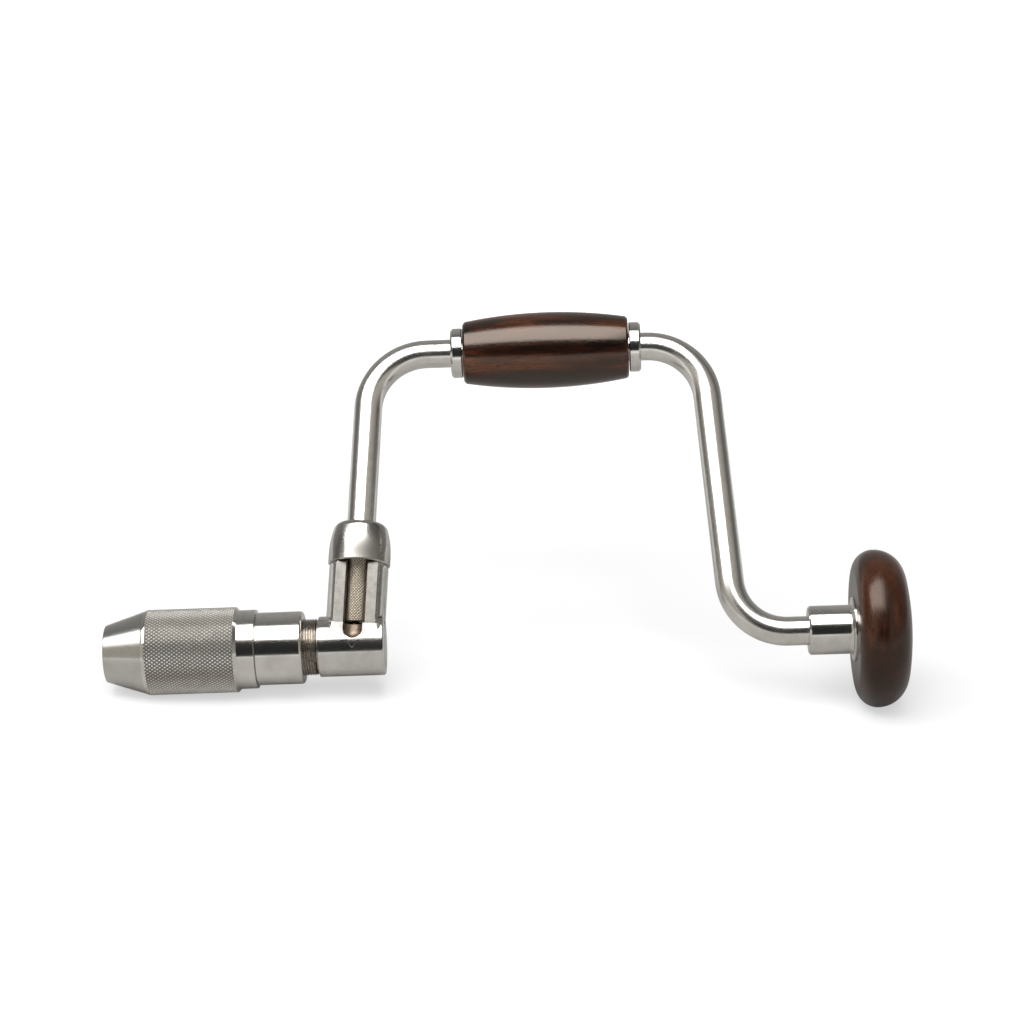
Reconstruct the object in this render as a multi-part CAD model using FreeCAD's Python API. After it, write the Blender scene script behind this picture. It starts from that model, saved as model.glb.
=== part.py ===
import FreeCAD, Part
import math
import os

# A ratchet bit brace with a ten inch sweep, in millimetres.
# The frame: X runs along the axis that the bit turns on, from the chuck's mouth to the head pad.
# Z points from that axis to the grip, and Y is square to the crank. The origin is the mouth's centre.

V = FreeCAD.Vector
X_AXIS = V(1, 0, 0)
Y_AXIS = V(0, 1, 0)
Z_AXIS = V(0, 0, 1)
ORIGIN = V(0, 0, 0)

# The crank.
sweep = 254.0
rod_r = 6.0
arm_splay = 3.8
bare_run_near = 10.69
bare_run_far = 2.29
bare_run_pad = 8.2
top_bend_r = 25.3
bottom_bend_r = 23.3

# The chuck shell and the jaws.
mouth_r = 8.0
mouth_length = 4.9
nose_rim_step = 0.15
shell_r = 17.75
cone_length = 16.8
land_length = 1.4
knurl_length = 36.4
collar_r = 16.4
collar_length = 7.2
band_r = 15.1
band_length = 19.5
band_edge_r = 1.4
shell_bore_gap = 0.45
nut_thread_wall = 1.65
nut_thread_length = 13.8
jaw_cone_slope = 0.315
jaw_cone_inset = 4.3
jaw_cone_length = 11.25
jaw_width = 11.9
jaw_nose_x = 6.5
jaw_back_inset = 1.4
jaw_gap = 3.2
jaw_closing = 1.4
groove_depth = 3.2
serration_pitch = 2.2
serration_start = 2.0
serration_count = 9
serration_depth = 0.5
jaw_spring_wire_r = 0.55
jaw_spring_length = 12.0
jaw_spring_half_height = 5.4
jaw_spring_bend_r = 2.4
jaw_spring_inset = 1.0
spring_rebate_length = 16.0
spring_side_gap = 0.1
spring_inner_gap = 0.35
snap_ring_depth = 0.8
snap_ring_width = 1.0
snap_ring_split = 3.2
rim_edge = 0.5
land_drop = 0.45

# The spindle that carries the jaws.
thread_r = 11.75
spindle_front_x = 27.0
slot_end_x = 56.0
socket_mouth = 8.0
socket_foot = 6.4
socket_length = 17.0
journal_r = 6.95
tail_r = 4.9
tail_thread_r = 4.0

# The ratchet head.
barrel_r = 12.55
bare_thread_length = 6.35
head_inset = 14.4
barrel_length = 27.1
barrel_front_chamfer = 0.3
barrel_end_chamfer = 0.4
upright_r = 12.4
upright_height = 36.5
shoulder_r = 4.0
shoulder_step = 0.6
neck_r = 10.0
neck_length = 13.7
flat_y = 8.8
flat_far = 9.0
ledge_drop = 1.4
block_y = 12.45
block_near = 10.2
block_far = 11.8
block_corner_r = 2.5
pocket_half_width = 4.05
pocket_foot_z = 4.4
pocket_chamfer = 0.5
rod_depth = 12.2
cross_pin_r = 1.5
cross_pin_inset = 0.8
ring_overhang = 0.6
ring_side_inset = 0.5
ring_side_rise = 10.3
ring_crown_r = 3.8
ring_crown_start = 13.0
ring_top_r = 7.7
ring_lap = 2.2
ring_height = 18.0
ring_wall = 0.85
ring_bevel = 0.5
plug_r = 9.6
plug_length = 3.1
plug_edge = 0.2
plug_slot_width = 1.4
plug_slot_depth = 1.2
mark_arm = 4.0
mark_width = 0.6
mark_depth = 0.3
mark_point_z = -3.6
mark_half_angle = 37

# The ratchet.
teeth = 12
wheel_r = 8.4
wheel_length = 9.4
selector_r = 4.3
selector_y = -2.7
selector_rise = 0.7
selector_edge = 0.5
selector_crown = 7.0
pawl_r = 2.5
pawl_neck = 0.4
pawl_neck_rise = 0.8
pawl_top_z = 20.0
foot_r = 1.3
foot_drop = 2.0
foot_bevel = 1.5
pawl_flat = 1.3
pawl_flat_low_z = 11.0
pawl_flat_high_z = 14.7
key_pin_r = 0.6
key_pin_z = 14.0
pawl_spring_wire_r = 0.3
pawl_spring_side_gap = 0.25
pawl_spring_turns = 7
key_half_width = 1.0
key_depth = 1.0
key_rise = 0.7
key_end = 1.2
wheel_nut_inset = 0.2

# The grip.
grip_r = 16.2
grip_end_r = 13.1
grip_length = 70.4
grip_edge_r = 0.9
grip_collar_r = 10.6
grip_collar_length = 4.9
grip_collar_chamfer = 0.9

# The head pad.
pad_r = 32.6
pad_thickness = 23.3
pad_back_edge_r = 8.7
pad_dome_rise = 2.0
neck_tube_length = 19.0
neck_tube_r = 10.15
neck_chamfer = 0.8
neck_fillet_r = 1.6
flange_r = 13.3
flange_thickness = 2.0
flange_proud = 0.8
flange_lip = 0.4
neck_floor = 4.4
nut_pocket_gap = 1.2
nut_pocket_depth = 1.0
shank_length = 9.0
bearing_r = 8.4
race_thickness = 1.8
end_spindle_r = 4.25
bush_length = 15.0
nut_r = 6.6
nut_length = 4.2
washer_thickness = 1.0

# The two ball bearings.
chuck_balls = 10
chuck_ball_r = 1.5
chuck_ball_inset = 0.55
pad_balls = 8
pad_ball_r = 1.6
pad_ball_ring_r = 6.35
cage_thickness = 1.2
cage_wall = 0.4

# Clearances.
running = 0.05
ball_gap = 0.05
grip_running = 0.08
slide_gap = 0.05
side_gap = 0.4
end_gap = 0.1
wheel_gap = 0.1
screw_gap = 0.05
thrust_washer_thickness = 0.5
edge = 0.4

# Places that several pieces share.
throw = sweep / 2
tan_splay = math.tan(math.radians(arm_splay))
nose_rim_r = thread_r + nose_rim_step
shell_bore_r = thread_r + shell_bore_gap
nut_thread_r = thread_r + nut_thread_wall
jaw_cone_r = thread_r - jaw_cone_inset
jaw_back_r = thread_r - jaw_back_inset
chuck_ball_ring_r = shell_bore_r - chuck_ball_r - chuck_ball_inset
knurl_x = cone_length + land_length
collar_x = knurl_x + knurl_length + shell_r - collar_r
shell_end_x = collar_x + collar_length
band_end_x = shell_end_x + band_length
barrel_x = band_end_x + bare_thread_length
barrel_end_x = barrel_x + barrel_length
head_x = barrel_x + head_inset
tan_half_bend = math.tan(math.radians((90 - arm_splay) / 2))
run_start_x = head_x + throw * tan_splay + top_bend_r * tan_half_bend
grip_start_x = run_start_x + bare_run_near + grip_collar_length + side_gap
grip_end_x = grip_start_x + grip_length
grip_x = (grip_start_x + grip_end_x) / 2
run_end_x = grip_end_x + side_gap + grip_collar_length + bare_run_far
far_arm_x = run_end_x + top_bend_r * tan_half_bend + throw * tan_splay
neck_tube_x = far_arm_x + bottom_bend_r * tan_half_bend + bare_run_pad
pad_x = neck_tube_x + neck_tube_length
pad_front_edge_r = pad_thickness - pad_back_edge_r - pad_dome_rise
nut_thread_x = shell_end_x - nut_thread_length
thread_end_x = barrel_x - thrust_washer_thickness
selector_bottom_z = wheel_r + selector_rise
selector_bore_r = pawl_r + running
foot_z = wheel_r - foot_drop
ledge_z = wheel_r - ledge_drop
wheel_x = head_x + selector_bottom_z * tan_splay - wheel_length / 2
wheel_end_x = wheel_x + wheel_length
cavity_r = wheel_r + wheel_gap
plug_x = barrel_end_x - plug_length
tail_end_x = plug_x - end_gap - edge
wheel_washer_x = wheel_end_x + running
wheel_nut_x = wheel_washer_x + washer_thickness
ball_plane_x = mouth_length + ball_gap + chuck_ball_r
jaw_cone_x = ball_plane_x + chuck_ball_r + ball_gap
jaw_cone_end_x = jaw_cone_x + jaw_cone_length
snap_ring_x = jaw_cone_end_x + end_gap
jaw_tail_x = slot_end_x - end_gap
neck_height = upright_height + neck_length
rod_end_z = neck_height - rod_depth
cross_pin_z = rod_end_z + rod_depth / 2
ring_r = upright_r + ring_overhang
ring_side_r = ring_r - ring_side_inset
ring_skirt_r = ring_r - ring_wall
ring_bottom_z = upright_height - ring_lap
ring_side_z = ring_bottom_z + ring_side_rise
ring_top_z = ring_bottom_z + ring_height
selector_top_z = rod_end_z - running
selector_bore_top_z = rod_end_z - selector_crown
neck_cup_x = neck_tube_x + neck_floor
rod_shoulder_x = neck_cup_x + end_gap
inner_race_x = rod_shoulder_x
pad_ball_x = inner_race_x + race_thickness + ball_gap + pad_ball_r
outer_race_x = pad_ball_x + pad_ball_r + ball_gap
bush_x = outer_race_x + race_thickness
bush_end_x = bush_x + bush_length
pad_washer_x = bush_end_x + running
pad_nut_x = pad_washer_x + washer_thickness
spindle_tip_x = pad_nut_x + nut_length + edge
flange_x = pad_x - flange_proud
flange_end_x = flange_x + flange_thickness
shank_end_x = flange_end_x + shank_length


def cylinder(x0, x1, r):
    """A plain round bar along X."""
    return Part.makeCylinder(r, x1 - x0, V(x0, 0, 0), X_AXIS)


def tube(x0, x1, r_in, r_out):
    """A round tube along X."""
    return cylinder(x0, x1, r_out).cut(cylinder(x0 - 1, x1 + 1, r_in))


def post(z0, z1, r, y=0.0):
    """A round bar along Z."""
    return Part.makeCylinder(r, z1 - z0, V(0, y, z0), Z_AXIS)


def box(x0, x1, y0, y1, z0, z1):
    """A block between two corners."""
    return Part.makeBox(x1 - x0, y1 - y0, z1 - z0, V(x0, y0, z0))


def line(a, b):
    """A straight edge in the XZ plane between two (x, z) points."""
    return Part.makeLine(V(a[0], 0, a[1]), V(b[0], 0, b[1]))


def on_circle(centre, r, degrees):
    """The (x, z) point of a circle at an angle from +X toward +Z."""
    a = math.radians(degrees)
    return (centre[0] + r * math.cos(a), centre[1] + r * math.sin(a))


def arc(centre, r, from_degrees, to_degrees):
    """A circular edge in the XZ plane about an (x, z) centre."""
    middle = (from_degrees + to_degrees) / 2
    return arc_through(*[on_circle(centre, r, d) for d in (from_degrees, middle, to_degrees)])


def arc_through(a, middle, b):
    """A circular edge in the XZ plane through three (x, z) points."""
    return Part.Arc(*[V(x, 0, z) for x, z in (a, middle, b)]).toShape()


def turned(edges, axis=X_AXIS):
    """The solid that a closed profile of edges in order sweeps about an axis through the origin."""
    return Part.Face(Part.Wire(edges)).revolve(ORIGIN, axis, 360)


def turned_points(points, axis=X_AXIS):
    """The turned solid of a profile of straight edges, given by its (x, z) corners."""
    return turned([line(a, b) for a, b in zip(points, points[1:] + points[:1])], axis)


def chamfered_bar(x0, x1, r, start, end):
    """A round bar along X with a 45 degree chamfer at each end, or a sharp end where it is zero."""
    front = [(x0, 0), (x0, r - start), (x0 + start, r)] if start else [(x0, 0), (x0, r)]
    back = [(x1 - end, r), (x1, r - end), (x1, 0)] if end else [(x1, r), (x1, 0)]
    return turned_points(front + back)


def lean(shape):
    """Carries a piece drawn about the Z axis onto the leaning axis of the head's upright."""
    placed = shape.copy()
    placed.rotate(ORIGIN, Y_AXIS, arm_splay)
    placed.translate(V(head_x, 0, 0))
    return placed


def around_x(shape, count, first=0.0):
    """Evenly spaced copies of a shape about the X axis."""
    copies = []
    for i in range(count):
        copy = shape.copy()
        copy.rotate(ORIGIN, X_AXIS, first + 360.0 * i / count)
        copies.append(copy)
    return copies


def round_path(points, radii):
    """A wire of straight runs with a tangent arc at each inner point."""
    edges = []
    start = points[0]
    for before, corner, after, radius in zip(points, points[1:], points[2:], radii):
        back = (before - corner).normalize()
        ahead = (after - corner).normalize()
        half = (back.getAngle(ahead)) / 2
        reach = radius / math.tan(half)
        middle = (back + ahead).normalize() * (radius / math.sin(half))
        arc_start = corner + back * reach
        arc_end = corner + ahead * reach
        arc_mid = corner + middle - (back + ahead).normalize() * radius
        edges.append(Part.makeLine(start, arc_start))
        edges.append(Part.Arc(arc_start, arc_mid, arc_end).toShape())
        start = arc_end
    edges.append(Part.makeLine(start, points[-1]))
    return Part.Wire(edges)


def pipe(path, r):
    """A round bar that follows a path."""
    first = path.Edges[0]
    start = first.valueAt(first.FirstParameter)
    heading = first.tangentAt(first.FirstParameter)
    section = Part.Wire(Part.makeCircle(r, start, heading))
    return path.makePipeShell([section], True, False)


def coil(r, wire_r, z0, z1, turns):
    """A round wire wound about Z as half turns of biarcs, from z0 to z1 between wire centres."""
    halves = 2 * turns
    rise = (z1 - z0) / halves
    edges = []
    for i in range(halves):
        side = 1 if i % 2 == 0 else -1
        low = z0 + i * rise
        a = V(side * r, 0, low)
        b = V(0, side * r, low + rise / 2)
        c = V(-side * r, 0, low + rise)
        edges.append(Part.Arc(a, b, c).toShape())
    path = Part.Wire(edges)
    section = Part.Wire(Part.makeCircle(wire_r, V(r, 0, z0), Y_AXIS))
    return path.makePipeShell([section], True, True)


def crank_rod():
    """The bent bar: an end in the ratchet head, the bow that carries the grip, and the pad's spindle."""
    foot = V(head_x + rod_end_z * math.sin(math.radians(arm_splay)), 0,
             rod_end_z * math.cos(math.radians(arm_splay)))
    top_near = V(head_x + throw * tan_splay, 0, throw)
    top_far = V(far_arm_x - throw * tan_splay, 0, throw)
    corner = V(far_arm_x, 0, 0)
    shoulder = V(rod_shoulder_x, 0, 0)
    path = round_path([foot, top_near, top_far, corner, shoulder], [top_bend_r, top_bend_r, bottom_bend_r])
    bar = pipe(path, rod_r)
    spindle = chamfered_bar(rod_shoulder_x, spindle_tip_x, end_spindle_r, 0, edge)
    return bar.fuse(spindle).cut(cross_pin_hole()).removeSplitter()


def cross_pin_hole():
    """The space of the pin that holds the rod's end in the head's neck."""
    return lean(Part.makeCylinder(cross_pin_r, 2 * neck_r, V(0, -neck_r, cross_pin_z), Y_AXIS))


def head_cross_pin():
    """The pin through the neck and the rod's end, hidden by the ring."""
    length = 2 * (neck_r - cross_pin_inset)
    return lean(Part.makeCylinder(cross_pin_r, length, V(0, -length / 2, cross_pin_z), Y_AXIS))


def upright():
    """The head's leaning post with its rounded shoulder and its neck."""
    centre = (upright_r - shoulder_r, upright_height - shoulder_r)
    profile = [
        line((0, 0), (upright_r, 0)),
        line((upright_r, 0), (upright_r, upright_height - shoulder_r)),
        arc(centre, shoulder_r, 0, shoulder_sweep()),
        line(on_circle(centre, shoulder_r, shoulder_sweep()), (neck_r, upright_height)),
        line((neck_r, upright_height), (neck_r, neck_height)),
        line((neck_r, neck_height), (0, neck_height)),
        line((0, neck_height), (0, 0)),
    ]
    return lean(turned(profile, Z_AXIS))


def shoulder_sweep():
    """How far the shoulder's round turns before it meets the neck's step."""
    return math.degrees(math.acos((neck_r + shoulder_step - upright_r + shoulder_r) / shoulder_r))


def base_block():
    """The block at the upright's foot. Its front lies nearly flush with the barrel's, below the flat."""
    block = box(-block_near, block_far, -block_y, 0, 0, ledge_z)
    corners = []
    for e in block.Edges:
        a, b = [v.Point for v in e.Vertexes]
        if abs(a.z - b.z) > edge and a.y < -flat_y:
            corners.append(e)
    return lean(block.makeFillet(block_corner_r, corners))


def front_flat():
    """The space in front of the upright's flat, down to the ledge on the block."""
    return lean(box(-block_near, flat_far, -2 * ring_r, -flat_y, ledge_z, upright_height))


def pocket():
    """The slot that lays the selector open to the thumb, and the cutter's ball shaped run-out at its foot."""
    slot = box(-pocket_half_width, pocket_half_width, -2 * ring_r, selector_y, ledge_z, upright_height)
    channel = post(pocket_foot_z, ledge_z, pocket_half_width, -block_y)
    ball = Part.makeSphere(pocket_half_width, V(0, -block_y, pocket_foot_z))
    return slot.fuse([channel, ball])


def index_mark():
    """The shallow arrow on the barrel's front, under the pocket."""
    half = mark_width / 2
    bars = []
    back_y = -barrel_r + 2 * mark_depth
    for turn in (-mark_half_angle, mark_half_angle):
        bar = box(-half, half, -barrel_r - 1, back_y, 0, mark_arm)
        bar.rotate(ORIGIN, Y_AXIS, turn)
        bar.translate(V(head_x, 0, mark_point_z))
        bars.append(bar)
    core = cylinder(barrel_x, barrel_end_x, barrel_r - mark_depth)
    return bars[0].fuse(bars[1]).cut(core)


def ratchet_head():
    """The T shaped body: a barrel for the spindle, and an upright for the selector and the rod."""
    barrel = chamfered_bar(barrel_x, barrel_end_x, barrel_r, barrel_front_chamfer, barrel_end_chamfer)
    body = barrel.fuse([upright(), base_block()]).cut(front_flat())
    hollow = lean(post(ledge_z, neck_height + 1, selector_r + running, selector_y))
    body = body.cut(lean(post(rod_end_z, neck_height + 1, rod_r)))
    body = body.cut(hollow.fuse(lean(pocket())))
    body = body.cut(cylinder(barrel_x - 1, barrel_end_x, journal_r + running))
    body = body.cut(cylinder(wheel_x - running, barrel_end_x + 1, cavity_r))
    body = body.cut(cylinder(plug_x, barrel_end_x + 1, plug_r + screw_gap))
    body = body.cut(cross_pin_hole()).cut(index_mark())
    return softened(body.removeSplitter())


def softened(body):
    """The head with the long lips of its pocket broken on the flat."""
    lips = []
    for e in body.Edges:
        ends = [unlean(v.Point) for v in e.Vertexes]
        on_flat = all(abs(p.y + flat_y) < 0.01 for p in ends)
        upright_edge = len(ends) == 2 and all(abs(abs(p.x) - pocket_half_width) < 0.01 for p in ends)
        if on_flat and upright_edge:
            lips.append(e)
    return body.makeChamfer(pocket_chamfer, lips)


def unlean(point):
    """A point of the head, back in the upright's own frame."""
    turn = FreeCAD.Rotation(Y_AXIS, -arm_splay)
    return turn.multVec(point - V(head_x, 0, 0))


def ring_cap():
    """The bell shaped ring that covers the neck and closes the pocket's top."""
    crown = (ring_top_r, ring_top_z - ring_crown_r)
    crown_foot = on_circle(crown, ring_crown_r, ring_crown_start)
    side_foot = (ring_r, ring_bottom_z + ring_height / 4)
    profile = [
        line((ring_skirt_r, ring_bottom_z), (ring_r - ring_bevel, ring_bottom_z)),
        line((ring_r - ring_bevel, ring_bottom_z), (ring_r, ring_bottom_z + ring_bevel)),
        line((ring_r, ring_bottom_z + ring_bevel), side_foot),
        arc_through(side_foot, (ring_side_r, ring_side_z), crown_foot),
        arc(crown, ring_crown_r, ring_crown_start, 90),
        line((ring_top_r, ring_top_z), (rod_r + running, ring_top_z)),
        line((rod_r + running, ring_top_z), (rod_r + running, neck_height + end_gap)),
        line((rod_r + running, neck_height + end_gap), (neck_r + screw_gap, neck_height + end_gap)),
        line((neck_r + screw_gap, neck_height + end_gap), (neck_r + screw_gap, upright_height)),
        line((neck_r + screw_gap, upright_height), (ring_skirt_r, upright_height)),
        line((ring_skirt_r, upright_height), (ring_skirt_r, ring_bottom_z)),
    ]
    return lean(turned(profile, Z_AXIS))


def ratchet_wheel():
    """The toothed wheel: gaps cut parallel to the pawl, so that its round foot drops straight in."""
    blank = tube(wheel_x, wheel_end_x, tail_r, wheel_r)
    half = foot_r + wheel_gap
    gap = box(wheel_x - 1, wheel_end_x + 1, selector_y - half, selector_y + half,
              foot_z - 2 * wheel_gap, 2 * wheel_r)
    for one in around_x(gap, teeth):
        blank = blank.cut(one)
    return blank.cut(wheel_key_space())


def wheel_key_space():
    """The key between the wheel and the spindle's tail, on the side away from the pawl."""
    top = -(tail_r - key_depth)
    bottom = -(tail_r + key_rise)
    return box(wheel_x + key_end, wheel_end_x - key_end, -key_half_width, key_half_width, bottom, top)


def chuck_spindle():
    """The turned spindle: jaw slot and square socket, thread, journal and tail."""
    body = turned_points([
        (spindle_front_x, 0), (spindle_front_x, thread_r - edge), (spindle_front_x + edge, thread_r),
        (thread_end_x - edge, thread_r), (thread_end_x, thread_r - edge), (thread_end_x, journal_r),
        (wheel_x, journal_r), (wheel_x, tail_r), (wheel_end_x, tail_r), (wheel_end_x, tail_thread_r),
        (tail_end_x, tail_thread_r), (tail_end_x, 0)])
    half = jaw_width / 2 + slide_gap
    slot = box(spindle_front_x - 1, slot_end_x, -half, half, -2 * thread_r, 2 * thread_r)
    return body.cut(slot).cut(square_socket()).cut(wheel_key_space()).removeSplitter()


def square_socket():
    """The tapered square hole for the tang of a bit, its corners toward the grooves of the jaws."""
    wires = []
    for x, side in ((slot_end_x - end_gap, socket_mouth), (slot_end_x + socket_length, socket_foot)):
        h = side / math.sqrt(2)
        corners = [V(x, 0, h), V(x, h, 0), V(x, 0, -h), V(x, -h, 0), V(x, 0, h)]
        wires.append(Part.makePolygon(corners))
    return Part.makeLoft(wires, True, True)


def jaw(side):
    """One jaw: a V groove that grips the shank, a nose cone, and a tail that rides in the slot."""
    shift = jaw_closing
    face_z = jaw_gap / 2
    half = jaw_width / 2
    nose_r = jaw_cone_r + (jaw_nose_x - jaw_cone_x) * jaw_cone_slope - slide_gap - shift
    back_r = jaw_back_r - shift
    back_x = jaw_nose_x + (back_r - nose_r) / jaw_cone_slope
    form = turned_points([
        (jaw_nose_x, 0), (jaw_nose_x, nose_r - edge), (jaw_nose_x + edge, nose_r + edge * jaw_cone_slope),
        (back_x, back_r), (jaw_tail_x, back_r), (jaw_tail_x, 0)])
    form.translate(V(0, 0, shift))
    blank = form.common(box(0, jaw_tail_x, -half, half, face_z, 2 * jaw_back_r))
    groove = Part.Face(Part.makePolygon([
        V(0, -groove_depth, face_z), V(0, 0, face_z + groove_depth), V(0, groove_depth, face_z),
        V(0, 0, face_z - groove_depth), V(0, -groove_depth, face_z)])).extrude(V(jaw_tail_x + 1, 0, 0))
    blank = blank.cut(groove).cut(spring_rebate())
    for x in serrations():
        blank = blank.cut(serration(x, face_z))
    if side < 0:
        blank.rotate(ORIGIN, X_AXIS, 180)
        blank = blank.mirror(ORIGIN, Y_AXIS)
    return blank


def serrations():
    """Where the biting edges of a jaw are cut."""
    first = jaw_nose_x + serration_start
    return [first + i * serration_pitch for i in range(serration_count)]


def serration(x, face_z):
    """One V shaped cut across a jaw's inner face."""
    depth = serration_depth
    tooth = Part.Face(Part.makePolygon([
        V(x - 2 * depth, -jaw_width, face_z - depth), V(x, -jaw_width, face_z + depth),
        V(x + 2 * depth, -jaw_width, face_z - depth), V(x - 2 * depth, -jaw_width, face_z - depth)]))
    return tooth.extrude(V(0, 2 * jaw_width, 0))


def spring_rebate():
    """The step in a jaw's flank that the hairpin spring lies in."""
    inner_y = jaw_width / 2 - 2 * jaw_spring_wire_r - spring_inner_gap
    return box(jaw_tail_x - spring_rebate_length, jaw_tail_x + 1, inner_y, jaw_width, -thread_r, thread_r)


def jaw_spring():
    """The hairpin of round wire that parts the jaws."""
    y = jaw_width / 2 - jaw_spring_wire_r - spring_side_gap
    z = jaw_spring_half_height
    back_x = jaw_tail_x - jaw_spring_inset
    front_x = back_x - jaw_spring_length
    corners = [V(front_x, y, z), V(back_x, y, z), V(back_x, y, -z), V(front_x, y, -z)]
    return pipe(round_path(corners, [jaw_spring_bend_r, jaw_spring_bend_r]), jaw_spring_wire_r)


def jaw_cone():
    """The thrust ring whose inner cone closes the jaws."""
    end_r = jaw_cone_r + jaw_cone_length * jaw_cone_slope
    outer = shell_bore_r - running * 2
    return turned_points([
        (jaw_cone_x, jaw_cone_r), (jaw_cone_x, outer - edge), (jaw_cone_x + edge, outer),
        (jaw_cone_end_x, outer), (jaw_cone_end_x, end_r)])


def chuck_shell():
    """The outer shell: nose cone, knurled grip and collar, with its bore and its snap ring groove."""
    rear_bore = nut_thread_r + screw_gap
    groove_r = shell_bore_r + snap_ring_depth
    break_x = collar_x - (shell_r - collar_r)
    return turned_points([
        (0, mouth_r), (0, nose_rim_r - rim_edge), (rim_edge / 2, nose_rim_r),
        (cone_length, shell_r - land_drop), (cone_length + land_drop, shell_r), (break_x, shell_r),
        (collar_x, collar_r),
        (shell_end_x - edge, collar_r), (shell_end_x, collar_r - edge), (shell_end_x, rear_bore),
        (nut_thread_x, rear_bore), (nut_thread_x, shell_bore_r),
        (snap_ring_x + snap_ring_width, shell_bore_r), (snap_ring_x + snap_ring_width, groove_r),
        (snap_ring_x, groove_r), (snap_ring_x, shell_bore_r), (mouth_length, shell_bore_r),
        (mouth_length, mouth_r)])


def shell_nut():
    """The rear sleeve: it screws into the shell, and its own thread runs on the spindle."""
    centre = (band_end_x - band_edge_r, band_r - band_edge_r)
    bore = thread_r + running
    profile = [
        line((nut_thread_x + end_gap, bore), (nut_thread_x + end_gap, nut_thread_r)),
        line((nut_thread_x + end_gap, nut_thread_r), (shell_end_x, nut_thread_r)),
        line((shell_end_x, nut_thread_r), (shell_end_x, band_r - edge)),
        line((shell_end_x, band_r - edge), (shell_end_x + edge, band_r)),
        line((shell_end_x + edge, band_r), (band_end_x - band_edge_r, band_r)),
        arc(centre, band_edge_r, 90, 0),
        line((band_end_x, band_r - band_edge_r), (band_end_x, bore)),
        line((band_end_x, bore), (nut_thread_x + end_gap, bore)),
    ]
    return turned(profile)


def cone_snap_ring():
    """The split ring that keeps the jaw cone in the shell."""
    inner = shell_bore_r - snap_ring_depth
    outer = shell_bore_r + snap_ring_depth - screw_gap
    whole = tube(snap_ring_x, snap_ring_x + snap_ring_width, inner, outer)
    half = snap_ring_split / 2
    return whole.cut(box(0, knurl_length, -half, half, 0, 2 * shell_r))


def ball_set(x, ring_r, ball_r, count):
    """The balls of a thrust bearing."""
    ball = Part.makeSphere(ball_r, V(x, 0, ring_r))
    return Part.makeCompound(around_x(ball, count))


def ball_cage(x, ring_r, ball_r, count, reach):
    """The flat cage that spaces the balls of a thrust bearing and reaches past them on both sides."""
    cage = tube(x - cage_thickness / 2, x + cage_thickness / 2, ring_r - reach, ring_r + reach)
    start = V(x - cage_thickness, 0, ring_r)
    hole = Part.makeCylinder(ball_r + ball_gap, 2 * cage_thickness, start, X_AXIS)
    for one in around_x(hole, count):
        cage = cage.cut(one)
    return cage


def selector_sleeve():
    """The knurled selector that the thumb turns. Its bore holds the pawl and the spring."""
    low = selector_bottom_z
    high = selector_top_z
    body = turned_points([
        (0, low), (selector_r - selector_edge, low), (selector_r, low + selector_edge),
        (selector_r, high - selector_edge), (selector_r - selector_edge, high), (0, high)], Z_AXIS)
    body = body.cut(post(selector_bottom_z - 1, selector_bore_top_z, selector_bore_r))
    body.translate(V(0, selector_y, 0))
    return lean(body.cut(key_pin_bar(selector_r)))


def key_pin_bar(half_length):
    """A small pin across the selector, just clear of the pawl's flat."""
    y = selector_y + pawl_flat + running + key_pin_r
    return Part.makeCylinder(key_pin_r, 2 * half_length, V(-half_length, y, key_pin_z), X_AXIS)


def selector_key_pin():
    """The pin that keeps the pawl from turning in the selector."""
    reach = math.sqrt(selector_r ** 2 - (pawl_flat + running + 2 * key_pin_r) ** 2) - edge
    return lean(key_pin_bar(reach))


def pawl_plunger():
    """The spring loaded pawl: a round body with a flat, and a bevelled foot between the wheel's teeth."""
    neck_z = selector_bottom_z + pawl_neck
    body = turned_points([
        (0, foot_z), (foot_r, foot_z), (foot_r, neck_z), (pawl_r, neck_z + pawl_neck_rise),
        (pawl_r, pawl_top_z - edge), (pawl_r - edge, pawl_top_z), (0, pawl_top_z)], Z_AXIS)
    flat = box(-pawl_r, pawl_r, pawl_flat, 2 * pawl_r, pawl_flat_low_z, pawl_flat_high_z)
    tip = V(foot_r, -pawl_r, foot_z)
    wedge = [tip + V(0, 0, foot_bevel), tip, tip - V(foot_bevel, 0, 0), tip + V(0, 0, foot_bevel)]
    bevel = Part.Face(Part.makePolygon(wedge)).extrude(V(0, 2 * pawl_r, 0))
    body = body.cut(flat).cut(bevel)
    body.translate(V(0, selector_y, 0))
    return lean(body)


def pawl_spring():
    """The coil that presses the pawl into the wheel."""
    low = pawl_top_z + pawl_spring_wire_r + running
    high = selector_bore_top_z - pawl_spring_wire_r - running
    coil_r = selector_bore_r - pawl_spring_side_gap - pawl_spring_wire_r
    wound = coil(coil_r, pawl_spring_wire_r, low, high, pawl_spring_turns)
    wound.translate(V(0, selector_y, 0))
    return lean(wound)


def hexagon(x0, x1, across_corners_r):
    """A six sided bar along X."""
    corners = [V(x0, across_corners_r * math.cos(math.radians(60 * i)),
                 across_corners_r * math.sin(math.radians(60 * i))) for i in range(7)]
    return Part.Face(Part.makePolygon(corners)).extrude(V(x1 - x0, 0, 0))


def wheel_nut():
    """The nut that keeps the wheel on the spindle's tail."""
    end = tail_end_x - wheel_nut_inset
    return hexagon(wheel_nut_x, end, nut_r).cut(cylinder(wheel_nut_x - 1, end + 1, tail_thread_r))


def end_plug():
    """The screwed plug that closes the barrel, with a slot for a driver."""
    plug = chamfered_bar(plug_x, barrel_end_x, plug_r, 0, plug_edge)
    half = plug_slot_width / 2
    return plug.cut(box(barrel_end_x - plug_slot_depth, barrel_end_x + 1, -half, half, -plug_r, plug_r))


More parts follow.
